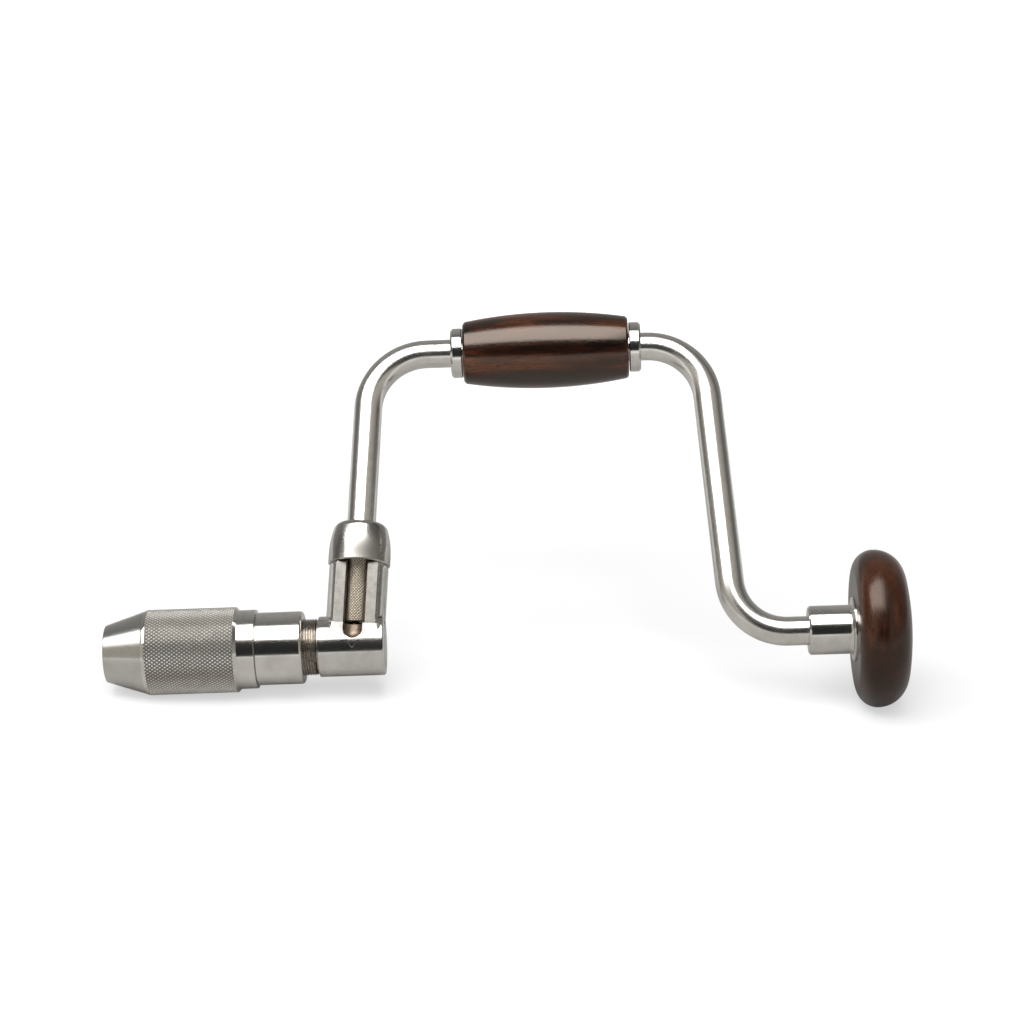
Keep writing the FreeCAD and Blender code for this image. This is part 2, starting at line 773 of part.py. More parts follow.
def wood_grip():
    """The barrel shaped grip that turns on the rod."""
    rise = grip_r - grip_end_r
    half = grip_length / 2
    bow_r = (half ** 2 + rise ** 2) / (2 * rise)
    centre = (grip_x, throw + grip_r - bow_r)
    end_angle = math.degrees(math.asin((half - grip_edge_r) / bow_r))
    left = on_circle(centre, bow_r, 90 + end_angle)
    right = on_circle(centre, bow_r, 90 - end_angle)
    hole_z = throw + rod_r + grip_running
    profile = [
        line((grip_start_x, hole_z), (grip_start_x, left[1] - grip_edge_r)),
        line((grip_start_x, left[1] - grip_edge_r), left),
        arc(centre, bow_r, 90 + end_angle, 90 - end_angle),
        line(right, (grip_end_x, right[1] - grip_edge_r)),
        line((grip_end_x, right[1] - grip_edge_r), (grip_end_x, hole_z)),
        line((grip_end_x, hole_z), (grip_start_x, hole_z)),
    ]
    return Part.Face(Part.Wire(profile)).revolve(V(0, 0, throw), X_AXIS, 360)


def grip_collar(x0, outer_end):
    """One of the two collars that keep the grip in place. Its far edge is chamfered."""
    start = grip_collar_chamfer if outer_end < 0 else edge
    end = grip_collar_chamfer if outer_end > 0 else edge
    body = chamfered_bar(x0, x0 + grip_collar_length, grip_collar_r, start, end)
    body = body.cut(cylinder(x0 - 1, x0 + grip_collar_length + 1, rod_r))
    body.translate(V(0, 0, throw))
    return body


def pad_wood():
    """The turned wooden head pad, with its bore for the neck and its pocket for the spindle's nut."""
    front_x = pad_x + pad_thickness
    rim_x = pad_x + pad_back_edge_r
    inner_flat_r = pad_r - pad_back_edge_r
    a = front_x - rim_x
    b = pad_r - pad_front_edge_r
    dome_r = (a ** 2 + b ** 2 - pad_front_edge_r ** 2) / (2 * (a - pad_front_edge_r))
    dome_centre = (front_x - dome_r, 0)
    meet = math.degrees(math.atan2(b, dome_r - a))
    recess_r = flange_r + screw_gap
    bore_r = neck_tube_r + screw_gap
    pocket_r = nut_r + nut_pocket_gap
    pocket_end = spindle_tip_x + nut_pocket_depth
    profile = [
        line((pad_x, recess_r), (pad_x, inner_flat_r)),
        arc((rim_x, inner_flat_r), pad_back_edge_r, 180, 90),
        arc((rim_x, b), pad_front_edge_r, 90, meet),
        arc(dome_centre, dome_r, meet, 0),
        line((front_x, 0), (pocket_end, 0)),
        line((pocket_end, 0), (pocket_end, pocket_r)),
        line((pocket_end, pocket_r), (shank_end_x + end_gap, pocket_r)),
        line((shank_end_x + end_gap, pocket_r), (shank_end_x + end_gap, bore_r)),
        line((shank_end_x + end_gap, bore_r), (flange_end_x, bore_r)),
        line((flange_end_x, bore_r), (flange_end_x, recess_r)),
        line((flange_end_x, recess_r), (pad_x, recess_r)),
    ]
    return turned(profile)


def pad_neck():
    """The metal neck: a tube with a thin flange in the pad's face and a shank in the wood."""
    fillet_centre = (flange_x - neck_fillet_r, neck_tube_r + neck_fillet_r)
    bore = rod_r + running
    cup = bearing_r + running
    profile = [
        line((neck_tube_x, bore), (neck_tube_x, neck_tube_r - neck_chamfer)),
        line((neck_tube_x, neck_tube_r - neck_chamfer), (neck_tube_x + neck_chamfer, neck_tube_r)),
        line((neck_tube_x + neck_chamfer, neck_tube_r), (fillet_centre[0], neck_tube_r)),
        arc(fillet_centre, neck_fillet_r, 270, 360),
        line((flange_x, fillet_centre[1]), (flange_x, flange_r - flange_lip)),
        line((flange_x, flange_r - flange_lip), (flange_x + flange_lip, flange_r)),
        line((flange_x + flange_lip, flange_r), (flange_end_x, flange_r)),
        line((flange_end_x, flange_r), (flange_end_x, neck_tube_r)),
        line((flange_end_x, neck_tube_r), (shank_end_x, neck_tube_r)),
        line((shank_end_x, neck_tube_r), (shank_end_x, cup)),
        line((shank_end_x, cup), (neck_cup_x, cup)),
        line((neck_cup_x, cup), (neck_cup_x, bore)),
        line((neck_cup_x, bore), (neck_tube_x, bore)),
    ]
    return turned(profile)


def pad_spindle_nut():
    """The nut on the end of the rod, inside the pad."""
    return hexagon(pad_nut_x, pad_nut_x + nut_length, nut_r).cut(
        cylinder(pad_nut_x - 1, spindle_tip_x, end_spindle_r))


def build():
    """Every sub-part of the brace by name."""
    reach = chuck_ball_r + cage_wall
    pad_reach = pad_ball_r + cage_wall
    inner_race_end_x = inner_race_x + race_thickness
    inner_race_r = bearing_r - end_gap
    return {
        "crank_rod": crank_rod(),
        "ratchet_head": ratchet_head(),
        "ring_cap": ring_cap(),
        "head_cross_pin": head_cross_pin(),
        "head_end_plug": end_plug(),
        "thrust_washer": tube(thread_end_x, barrel_x, journal_r + running, thread_r - edge),
        "grip_collar_near": grip_collar(grip_start_x - side_gap - grip_collar_length, -1),
        "grip_collar_far": grip_collar(grip_end_x + side_gap, 1),
        "wood_grip": wood_grip(),
        "chuck_spindle": chuck_spindle(),
        "ratchet_wheel": ratchet_wheel(),
        "wheel_key": wheel_key_space(),
        "wheel_washer": tube(wheel_washer_x, wheel_nut_x, tail_thread_r, nut_r),
        "wheel_nut": wheel_nut(),
        "selector_sleeve": selector_sleeve(),
        "selector_key_pin": selector_key_pin(),
        "pawl_plunger": pawl_plunger(),
        "pawl_spring": pawl_spring(),
        "chuck_shell": chuck_shell(),
        "shell_nut": shell_nut(),
        "cone_snap_ring": cone_snap_ring(),
        "jaw_cone": jaw_cone(),
        "chuck_balls": ball_set(ball_plane_x, chuck_ball_ring_r, chuck_ball_r, chuck_balls),
        "chuck_ball_cage": ball_cage(ball_plane_x, chuck_ball_ring_r, chuck_ball_r, chuck_balls, reach),
        "jaw_upper": jaw(1),
        "jaw_lower": jaw(-1),
        "jaw_spring": jaw_spring(),
        "pad_wood": pad_wood(),
        "pad_neck": pad_neck(),
        "pad_bush": tube(bush_x, bush_end_x, end_spindle_r + running, bearing_r),
        "pad_outer_race": tube(outer_race_x, bush_x, end_spindle_r + 3 * running, bearing_r),
        "pad_inner_race": tube(inner_race_x, inner_race_end_x, end_spindle_r, inner_race_r),
        "pad_balls": ball_set(pad_ball_x, pad_ball_ring_r, pad_ball_r, pad_balls),
        "pad_ball_cage": ball_cage(pad_ball_x, pad_ball_ring_r, pad_ball_r, pad_balls, pad_reach),
        "pad_washer": tube(pad_washer_x, pad_nut_x, end_spindle_r, nut_r),
        "pad_spindle_nut": pad_spindle_nut(),
    }


os.makedirs("parts", exist_ok=True)
for name, shape in build().items():
    shape.exportStep("parts/" + name + ".step")
    print(name, "solids", len(shape.Solids), "volume", round(shape.Volume, 1), "valid", shape.isValid())
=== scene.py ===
"""The looks of a ratchet bit brace: knurled chuck, ratchet head, bent rod, wooden grip and pad.

Lengths are in millimetres where nothing else is said, and are turned to metres where a mesh or a
node is made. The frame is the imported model's own: X from the chuck's mouth to the head pad, Z from
the axis to the grip.
"""

import logging
import math
from collections.abc import Iterator
from contextlib import contextmanager
from dataclasses import dataclass
from enum import Enum

import bpy
from mathutils import Matrix, Vector


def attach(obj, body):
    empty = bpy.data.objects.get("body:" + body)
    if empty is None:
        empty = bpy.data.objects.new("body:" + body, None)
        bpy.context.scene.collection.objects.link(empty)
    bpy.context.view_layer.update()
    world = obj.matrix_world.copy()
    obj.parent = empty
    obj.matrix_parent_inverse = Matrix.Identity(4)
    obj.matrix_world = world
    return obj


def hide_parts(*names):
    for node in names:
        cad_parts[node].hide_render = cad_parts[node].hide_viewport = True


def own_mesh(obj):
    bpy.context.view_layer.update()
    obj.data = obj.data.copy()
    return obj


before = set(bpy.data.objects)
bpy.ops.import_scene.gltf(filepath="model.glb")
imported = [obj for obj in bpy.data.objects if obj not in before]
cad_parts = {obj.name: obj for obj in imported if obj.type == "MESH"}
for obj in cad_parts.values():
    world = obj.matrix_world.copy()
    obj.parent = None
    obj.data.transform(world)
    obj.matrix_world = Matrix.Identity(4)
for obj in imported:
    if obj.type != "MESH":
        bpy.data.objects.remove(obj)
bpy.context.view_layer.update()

MM = 0.001

# The near arm leans back by this angle, and the head's upright and the selector lean with it.
ARM_SPLAY = math.radians(3.8)

# Where the head's upright stands on the turning axis, and how far the selector is off its middle.
HEAD_X = 103.4
SELECTOR_Y = -2.7

# Points closer than this, in metres, are one point. The seam of a spun or wound skin takes more.
SAME_POINT = 1e-7
SAME_SEAM = 1e-6

# The colour sockets of a mix node, and the node that calculates with vectors.
MIX_FIRST, MIX_SECOND, MIX_RESULT = 6, 7, 2
VECTOR_MATH = "ShaderNodeVectorMath"

# The types that most functions take or give.
Pair = tuple[float, float]
Place = tuple[float, float, float]
Tree = bpy.types.NodeTree
Socket = bpy.types.NodeSocket
Piece = bpy.types.Object
Material = bpy.types.Material

log = logging.getLogger("brace")


class Axis(Enum):
    """The direction along which a surface was turned, drawn or grown."""

    ALONG_X = (0.0, 0.0, 0.0)
    ALONG_HEAD = (0.0, math.radians(90.0) - ARM_SPLAY, 0.0)
    ALONG_Z = (0.0, math.radians(90.0), 0.0)


class HeadFinish(Enum):
    """The material slots of the ratchet head."""

    PLATE = 0
    POCKET = 1
    MARK = 2
    FLAT = 3


def colour(code: str) -> tuple[float, float, float, float]:
    """Turns an sRGB hex colour to linear.

    Args:
        code: The colour as "#rrggbb".

    Returns:
        Linear red, green and blue with an alpha of one.
    """
    values = []
    for i in (1, 3, 5):
        v = int(code[i:i + 2], 16) / 255.0
        values.append(v / 12.92 if v <= 0.04045 else ((v + 0.055) / 1.055) ** 2.4)
    return (values[0], values[1], values[2], 1.0)


def metres(place: Place) -> tuple[float, ...]:
    """Turns a place in millimetres to metres.

    Args:
        place: The place in millimetres.

    Returns:
        The same place in metres.
    """
    return tuple(v * MM for v in place)


def add_node(tree: Tree, kind: str, inputs: dict | None = None, **settings) -> bpy.types.Node:
    """Adds a node with its settings and links.

    Args:
        tree: The node tree that the node goes in.
        kind: The node's type name.
        inputs: For each socket's name or place, a value or another node's output.
        settings: The node's own properties.

    Returns:
        The new node.
    """
    node = tree.nodes.new(kind)
    for key, value in settings.items():
        setattr(node, key, value)
    for key, value in (inputs or {}).items():
        if isinstance(value, Socket):
            tree.links.new(value, node.inputs[key])
        else:
            node.inputs[key].default_value = value
    return node


def fade(tree: Tree, value: Socket, none_at: float = 0.0, full_at: float = 1.0,
         ends: Pair = (0.0, 1.0), eased: bool = True) -> Socket:
    """Adds a number that goes from one end to the other between two values.

    Args:
        tree: The node tree.
        value: What the number depends on.
        none_at: The value at which it is at its first end.
        full_at: The value at which it is at its second end.
        ends: The ends.
        eased: Whether it starts and stops gently.

    Returns:
        The number.
    """
    node = add_node(tree, "ShaderNodeMapRange", {
        "Value": value, "From Min": none_at, "From Max": full_at, "To Min": ends[0],
        "To Max": ends[1]}, interpolation_type="SMOOTHSTEP" if eased else "LINEAR")
    return node.outputs["Result"]


def calculate(tree: Tree, operation: str, *values, kind: str = "ShaderNodeMath") -> Socket:
    """Adds a calculation that gives a number.

    Args:
        tree: The node tree.
        operation: What is done with the values.
        values: The values or other nodes' outputs.
        kind: The node's type name.

    Returns:
        The result.
    """
    return add_node(tree, kind, dict(enumerate(values)), operation=operation).outputs["Value"]


def mix_colours(tree: Tree, share: Socket, first, second) -> Socket:
    """Adds a mix of two colours.

    Args:
        tree: The node tree.
        share: How much of the second colour there is.
        first: The first colour, as a value or another node's output.
        second: The second colour, likewise.

    Returns:
        The mixed colour.
    """
    node = add_node(tree, "ShaderNodeMix", {
        "Factor": share, MIX_FIRST: first, MIX_SECOND: second}, data_type="RGBA")
    return node.outputs[MIX_RESULT]


def colour_ramp(tree: Tree, share: Socket, stops: tuple[tuple[float, str], ...]) -> Socket:
    """Adds a run of colours.

    Args:
        tree: The node tree.
        share: The place on the run, from 0 to 1.
        stops: The place and the sRGB hex code of each colour, in order.

    Returns:
        The colour at that place.
    """
    node = add_node(tree, "ShaderNodeValToRGB", {"Fac": share})
    elements = node.color_ramp.elements
    for element, (position, code) in ((elements[0], stops[0]), (elements[1], stops[-1])):
        element.position = position
        element.color = colour(code)
    for position, code in stops[1:-1]:
        elements.new(position).color = colour(code)
    return node.outputs["Color"]


def noise(tree: Tree, place: Socket, scale: float, detail: float,
          roughness: float = 0.5, distortion: float = 0.0) -> Socket:
    """Adds an uneven grey.

    Args:
        tree: The node tree.
        place: The place on the surface.
        scale: How many patches there are in a metre.
        detail: How many finer layers it has.
        roughness: How much the finer layers weigh.
        distortion: How far the patches are bent.

    Returns:
        The grey value.
    """
    node = add_node(tree, "ShaderNodeTexNoise", {
        "Vector": place, "Scale": scale, "Detail": detail, "Roughness": roughness,
        "Distortion": distortion})
    return node.outputs["Fac"]


def new_tree(name: str) -> tuple[Material, Tree]:
    """Makes an empty node material.

    Args:
        name: The material's name.

    Returns:
        The material and its node tree.
    """
    material = bpy.data.materials.new(name)
    material.use_nodes = True
    material.node_tree.nodes.clear()
    return material, material.node_tree


@dataclass(frozen=True)
class PaintedGrooveShade:
    """Painted shade in a knurl's grooves: the lower a place lies under the studs' tops, the darker.
    """

    # The painted shade's colour at the grooves' floor. It fades out between floor_r and top_r,
    # measured from the axis through axis_place.
    tone: str
    axis_place: Place
    floor_r: float
    top_r: float

    def over(self, tree: Tree, turned: Socket, tone: Socket) -> Socket:
        """Paints the shade into a knurl's grooves on a surface.

        Args:
            tree: The material's node tree.
            turned: The place with the turning axis along X.
            tone: The colour of the metal on the studs' tops, outside the painted shade.

        Returns:
            The colour with the painted shade in the grooves.
        """
        flat = add_node(tree, VECTOR_MATH, {0: turned, 1: (0.0, 1.0, 1.0)}, operation="MULTIPLY")
        height = calculate(tree, "DISTANCE", flat.outputs["Vector"], metres(self.axis_place),
                           kind=VECTOR_MATH)
        # Painted shade: full at the grooves' floor, none at the studs' tops.
        unshaded = fade(tree, height, self.floor_r * MM, self.top_r * MM)
        return mix_colours(tree, unshaded, colour(self.tone), tone)


@dataclass(frozen=True)
class Metal:
    """A plated or bare metal surface with fine tool lines across the axis that it was turned on.

    Plating gives a soft mirror, the tool lines spread the highlight along them, and handling
    leaves faint clouds of a duller tone.
    """

    name: str
    base: str
    clouded: str
    roughness: float
    cloud_roughness: float
    axis: Axis = Axis.ALONG_X
    line_mm: float = 0.16
    line_length_mm: float = 25.0
    line_depth_mm: float = 0.0012
    cloud_mm: float = 9.0
    cloud_edges: Pair = (0.35, 0.7)
    grain_mm: float = 0.35
    grain_depth_mm: float = 0.0
    worn_at: Place | None = None
    worn_mm: float = 6.0
    worn_core: float = 0.1
    # Painted shade in a knurl's grooves, where there is a knurl.
    painted_groove_shade: PaintedGrooveShade | None = None

    def worn(self, tree: Tree, place: Socket, dulled: Socket) -> Socket:
        """Adds the dull patch that a thumb has rubbed.

        Args:
            tree: The material's node tree.
            place: The place on the surface.
            dulled: How dull the surface is without the patch.

        Returns:
            How dull the surface is with it.
        """
        reach = calculate(tree, "DISTANCE", place, metres(self.worn_at), kind=VECTOR_MATH)
        patch = fade(tree, reach, self.worn_mm * MM, self.worn_core * self.worn_mm * MM)
        return calculate(tree, "MAXIMUM", dulled, patch)

    def material(self) -> Material:
        """Builds the material.

        Returns:
            The finished material.
        """
        material, tree = new_tree(self.name)
        place = add_node(tree, "ShaderNodeTexCoord").outputs["Object"]
        turned = add_node(tree, "ShaderNodeMapping", {
            "Vector": place, "Rotation": self.axis.value}).outputs["Vector"]
        around = 1 / (self.line_length_mm * MM)
        drawn = add_node(tree, "ShaderNodeMapping", {
            "Vector": turned, "Scale": (1 / (self.line_mm * MM), around, around)})
        lines = noise(tree, drawn.outputs["Vector"], 1.0, detail=3.0, roughness=0.6)
        clouds = noise(tree, place, 1 / (self.cloud_mm * MM), detail=4.0, roughness=0.65)
        dulled = calculate(tree, "MULTIPLY", fade(tree, clouds, *self.cloud_edges), lines)
        if self.worn_at:
            dulled = self.worn(tree, place, dulled)
        tone = mix_colours(tree, dulled, colour(self.base), colour(self.clouded))
        # Paints shade into the knurl's grooves.
        if self.painted_groove_shade:
            tone = self.painted_groove_shade.over(tree, turned, tone)
        rough = fade(tree, dulled, ends=(self.roughness, self.cloud_roughness), eased=False)
        bump = add_node(tree, "ShaderNodeBump", {
            "Height": lines, "Strength": 1.0, "Distance": self.line_depth_mm * MM})
        if self.grain_depth_mm:
            grain = noise(tree, place, 1 / (self.grain_mm * MM), detail=2.0)
            bump = add_node(tree, "ShaderNodeBump", {
                "Height": grain, "Strength": 1.0, "Distance": self.grain_depth_mm * MM,
                "Normal": bump.outputs["Normal"]})
        surface = add_node(tree, "ShaderNodeBsdfPrincipled", {
            "Base Color": tone, "Metallic": 1.0, "Roughness": rough,
            "Normal": bump.outputs["Normal"]})
        add_node(tree, "ShaderNodeOutputMaterial", {"Surface": surface.outputs["BSDF"]})
        return material


@dataclass(frozen=True)
class LacqueredRosewood:
    """Dark rosewood under a clear lacquer.

    Broad dark and brown clouds run along the grain, fine streaks break them up, and the open
    pores show as short dark dashes that also speckle the wet shine of the lacquer, which the wood
    warms a little.
    """

    name: str
    axis: Axis
    heart: Place
    dark: str = "#080302"
    middle: str = "#1f0c05"
    light: str = "#42200c"
    tone_places: Place = (0.41, 0.5, 0.62)
    cloud_mm: float = 11.0
    cloud_length_mm: float = 55.0
    cloud_share: float = 0.62
    streak_mm: float = 1.5
    streak_length_mm: float = 26.0
    pore_mm: float = 0.3
    pore_length_mm: float = 3.2
    pore_depth_mm: float = 0.012
    pore_edges: Pair = (0.33, 0.45)
    lacquer_tint: str = "#ffebdd"
    lacquer_roughness: float = 0.18
    lacquer_ior: float = 1.66

    def along_grain(self, tree: Tree, grown: Socket, length: float,
                    width: float, detail: float) -> Socket:
        """Adds a noise that is drawn out along the grain.

        Args:
            tree: The material's node tree.
            grown: The place with the grain along X.
            length: The noise's size along the grain in millimetres.
            width: Its size across the grain in millimetres.
            detail: How many finer layers it has.

        Returns:
            The noise's value.
        """
        across = 1 / (width * MM)
        squeezed = add_node(tree, "ShaderNodeMapping", {
            "Vector": grown, "Scale": (1 / (length * MM), across, across)})
        return noise(tree, squeezed.outputs["Vector"], 1.0, detail, roughness=0.55,
                     distortion=0.25)

    def material(self) -> Material:
        """Builds the material.

        Returns:
            The finished material.
        """
        material, tree = new_tree(self.name)
        place = add_node(tree, "ShaderNodeTexCoord").outputs["Object"]
        grown = add_node(tree, "ShaderNodeMapping", {
            "Vector": place, "Rotation": self.axis.value,
            "Location": metres(self.heart)}).outputs["Vector"]
        clouds = self.along_grain(tree, grown, self.cloud_length_mm, self.cloud_mm, detail=2.0)
        streaks = self.along_grain(tree, grown, self.streak_length_mm, self.streak_mm, detail=4.0)
        fibres = self.along_grain(tree, grown, self.pore_length_mm, self.pore_mm, detail=1.0)
        part = calculate(tree, "MULTIPLY", clouds, self.cloud_share)
        figure = calculate(tree, "MULTIPLY_ADD", streaks, 1 - self.cloud_share, part)
        tones = (self.dark, self.middle, self.light)
        tone = colour_ramp(tree, figure, tuple(zip(self.tone_places, tones)))
        filled = fade(tree, fibres, *self.pore_edges, eased=False)
        bump = add_node(tree, "ShaderNodeBump", {
            "Height": filled, "Strength": 0.6, "Distance": self.pore_depth_mm * MM})
        surface = add_node(tree, "ShaderNodeBsdfPrincipled", {
            "Base Color": mix_colours(tree, filled, colour(self.dark), tone),
            "Roughness": self.lacquer_roughness, "IOR": self.lacquer_ior,
            "Specular Tint": colour(self.lacquer_tint), "Normal": bump.outputs["Normal"]})
        add_node(tree, "ShaderNodeOutputMaterial", {"Surface": surface.outputs["BSDF"]})
        return material


class Finishes:
    """All the finishes of the brace, each made once."""

    def __init__(self) -> None:
        """Builds the materials."""
        # The soft mirror of drawn rod, with lines along it that blur the light's edge.
        self.rod = Metal("polished nickel plate", "#dad8d4", "#c1beb8", 0.2, 0.28, line_mm=0.5,
                         line_length_mm=3.0, line_depth_mm=0.0005).material()
        # The brightest metal, with a crisp black band where it mirrors the room.
        self.turned = Metal("turned nickel plate", "#d8d6d2", "#bcb9b3", 0.13, 0.2,
                            line_depth_mm=0.0006).material()
        # The duller nose cone.
        self.satin = Metal("satin turned nickel", "#c6c4c0", "#b0ada8", 0.18, 0.26,
                           line_depth_mm=0.0008).material()
        # The ring, rubbed grey where the thumb goes past it to the selector.
        self.ring = Metal("brushed nickel ring", "#c4c1bc", "#85827e", 0.16, 0.5,
                          Axis.ALONG_HEAD, worn_at=(109.2, -13.0, 38.0),
                          worn_mm=11.0).material()
        # Plate on a cast and polished body, a little wavy.
        self.head = Metal("worn nickel plate", "#d3d1cd", "#b1aea8", 0.14, 0.24, line_mm=0.3,
                          line_length_mm=4.0, line_depth_mm=0.0006, grain_depth_mm=0.001,
                          grain_mm=0.9).material()
        # The flats beside the selector, grey and matt with cutter marks.
        self.milled = Metal("milled flat", "#7f7d79", "#5b5955", 0.32, 0.48, Axis.ALONG_Z,
                            line_mm=0.35, line_length_mm=3.0, line_depth_mm=0.006, cloud_mm=3.0,
                            grain_depth_mm=0.004, grain_mm=0.6).material()
        # The unplated pocket and the cut of the index mark.
        self.pocket = Metal("browned pocket steel", "#84786a", "#564d42", 0.42, 0.55,
                            cloud_mm=1.5).material()
        self.mark = Metal("engraved line", "#4d4b48", "#3a3836", 0.45, 0.55).material()
        # The two knurls, with painted shade in their grooves that makes the diamonds readable.
        self.knurl = Metal("knurled nickel", "#e0deda", "#c3c0bc", 0.33, 0.43, cloud_mm=4.0,
                           painted_groove_shade=PaintedGrooveShade("#78746f", (0.0, 0.0, 0.0), 17.28,
                                                      17.6)).material()
        # The selector's knurl also has painted shade in its grooves.
        selector_axis = (0.0, SELECTOR_Y, -HEAD_X * math.cos(ARM_SPLAY))
        self.selector = Metal("browned knurled steel", "#f0e9de", "#d3cabc", 0.36, 0.46,
                              Axis.ALONG_HEAD, cloud_mm=1.6,
                              painted_groove_shade=PaintedGrooveShade("#7c6e5a", selector_axis, 4.0,
                                                         4.2)).material()
        # The bare thread, brown with oil.
        self.thread = Metal("oiled thread steel", "#a8a199", "#736a62", 0.24, 0.36,
                            cloud_mm=2.0).material()
        # What shows at the pocket's foot, in the mouth and in a cut: dark, ground, bare, bronze.
        self.dark = Metal("oil blackened steel", "#6b6259", "#443b34", 0.38, 0.5).material()
        self.hard = Metal("ground hardened steel", "#cfcfce", "#b4b4b2", 0.1, 0.18).material()
        self.plain = Metal("turned bare steel", "#b3aca2", "#8d857a", 0.28, 0.4).material()
        self.wire = Metal("drawn spring wire", "#8d8984", "#6a6661", 0.25, 0.35).material()
        self.bronze = Metal("oiled bronze", "#c09a55", "#8f6c34", 0.3, 0.42).material()
        # The grip is redder and glossier than the pad.
        self.grip_wood = LacqueredRosewood("rosewood of the grip", Axis.ALONG_X,
                                           (-60, 12, -112)).material()
        self.pad_wood = LacqueredRosewood("rosewood of the pad", Axis.ALONG_Z, (0, 11, 330),
                                          dark="#150a05", middle="#26120a", light="#371b0d",
                                          lacquer_roughness=0.25, lacquer_ior=1.48).material()


def clear_selection() -> None:
    """Leaves edit mode and deselects everything."""
    if bpy.context.object and bpy.context.object.mode != "OBJECT":
        bpy.ops.object.mode_set(mode="OBJECT")
    bpy.ops.object.select_all(action="DESELECT")


def make_active(piece: Piece) -> None:
    """Selects one object alone and makes it the active one.

    Args:
        piece: The object.
    """
    clear_selection()
    piece.select_set(True)
    bpy.context.view_layer.objects.active = piece


@contextmanager
def editing(piece: Piece, everything: bool = True) -> Iterator[None]:
    """Opens a piece's mesh for editing and closes it again.

    Args:
        piece: The piece.
        everything: Whether all of it is selected, or only what already was.

    Yields:
        Nothing, while the mesh is open.
    """
    make_active(piece)
    bpy.ops.object.mode_set(mode="EDIT")
    if everything:
        bpy.ops.mesh.select_all(action="SELECT")
    yield
    bpy.ops.object.mode_set(mode="OBJECT")


def open_point(name: str) -> Piece:
    """Makes a mesh of one point at the origin and leaves it open, so that a line can be drawn out.

    Args:
        name: The object's name.

    Returns:
        The new object, in edit mode with its point selected.
    """
    clear_selection()
    bpy.ops.mesh.primitive_plane_add(size=MM, location=(0, 0, 0))
    piece = bpy.context.object
    piece.name = piece.data.name = name
    bpy.ops.object.mode_set(mode="EDIT")
    bpy.ops.mesh.select_all(action="SELECT")
    bpy.ops.mesh.merge(type="CENTER")
    return piece


def draw(start: Pair, moves: list[Pair]) -> None:
    """Moves the open mesh's selected point to a start and draws a line out of it.

    Args:
        start: The start's (x, r) in millimetres.
        moves: The steps from corner to corner, in millimetres.
    """
    bpy.ops.transform.translate(value=(start[0] * MM, 0, start[1] * MM))
    for dx, dr in moves:
        bpy.ops.mesh.extrude_region_move(TRANSFORM_OT_translate={"value": (dx * MM, 0, dr * MM)})


def lathe(name: str, outline: list[Pair], steps: int) -> Piece:
    """Spins a closed outline about the X axis.

    Args:
        name: The object's name.
        outline: The (x, r) corners in order, in millimetres.
        steps: How many faces go round.

    Returns:
        The turned object.
    """
    piece = open_point(name)
    draw(outline[0], [(b[0] - a[0], b[1] - a[1])
                      for a, b in zip(outline, outline[1:] + outline[:1])])
    bpy.ops.mesh.select_all(action="SELECT")
    bpy.ops.mesh.remove_doubles(threshold=SAME_POINT)
    bpy.ops.mesh.spin(steps=steps, angle=2 * math.pi, center=(0, 0, 0), axis=(1, 0, 0))
    bpy.ops.mesh.select_all(action="SELECT")
    bpy.ops.mesh.remove_doubles(threshold=SAME_SEAM)
    bpy.ops.mesh.normals_make_consistent(inside=False)
    bpy.ops.object.mode_set(mode="OBJECT")
    return piece


@dataclass
class DiamondKnurl:
    """Two staggered sets of diamond studs on a cylinder about the X axis.

    It runs from start to end, with r over the studs and depth as their height. One row has around
    studs, each stud_length long, and a stud's top keeps stud_top of its foot.
    """

    name: str
    start: float
    end: float
    r: float
    depth: float
    around: int
    stud_length: float
    stud_top: float = 0.16

    def row(self, shift: float) -> Piece:
        """Makes one ring of studs without their floors.

        Args:
            shift: How far along it starts, in studs. Any shift also turns it by half a stud.

        Returns:
            The ring of studs.
        """
        clear_selection()
        bpy.ops.mesh.primitive_cone_add(vertices=4, radius1=MM, radius2=self.stud_top * MM,
                                        depth=self.depth * MM, end_fill_type="NGON",
                                        location=(0, 0, 0))
        stud = bpy.context.object
        start = (self.start + shift * self.stud_length) * MM
        with editing(stud):
            bpy.ops.transform.resize(value=(
                self.stud_length / 2, math.pi * self.r / self.around, 1.0))
            bpy.ops.transform.translate(value=(start, 0, (self.r - self.depth / 2) * MM))
            bpy.ops.mesh.select_mode(type="FACE")
        for face in stud.data.polygons:
            face.select = face.normal.z < -0.9  # only the stud's floor looks straight down
        with editing(stud, everything=False):
            bpy.ops.mesh.delete(type="FACE")
            bpy.ops.mesh.select_all(action="SELECT")
            bpy.ops.mesh.spin(steps=self.around - 1, dupli=True,
                              angle=2 * math.pi * (self.around - 1) / self.around,
                              center=(0, 0, 0), axis=(1, 0, 0))
        if shift:
            stud.rotation_euler = (math.pi / self.around, 0, 0)
            bpy.ops.object.transform_apply(location=False, rotation=True, scale=False)
        return stud

    def build(self) -> Piece:
        """Covers the cylinder.

        Returns:
            The knurled skin, cut square at both ends.
        """
        rows = [self.row(shift) for shift in (0.0, 0.5)]
        clear_selection()
        for row in rows:
            row.select_set(True)
        bpy.context.view_layer.objects.active = rows[0]
        bpy.ops.object.join()
        skin = bpy.context.object
        skin.name = skin.data.name = self.name
        array = skin.modifiers.new("rows", "ARRAY")
        array.use_relative_offset = False
        array.use_constant_offset = True
        array.constant_offset_displace = (self.stud_length * MM, 0, 0)
        array.count = math.ceil((self.end - self.start) / self.stud_length) + 1
        bpy.ops.object.modifier_apply(modifier="rows")
        with editing(skin):
            for edge, side in ((self.start, -1.0), (self.end, 1.0)):
                bpy.ops.mesh.select_all(action="SELECT")
                bpy.ops.mesh.bisect(plane_co=(edge * MM, 0, 0), plane_no=(side, 0, 0),
                                    clear_outer=True)
        return skin


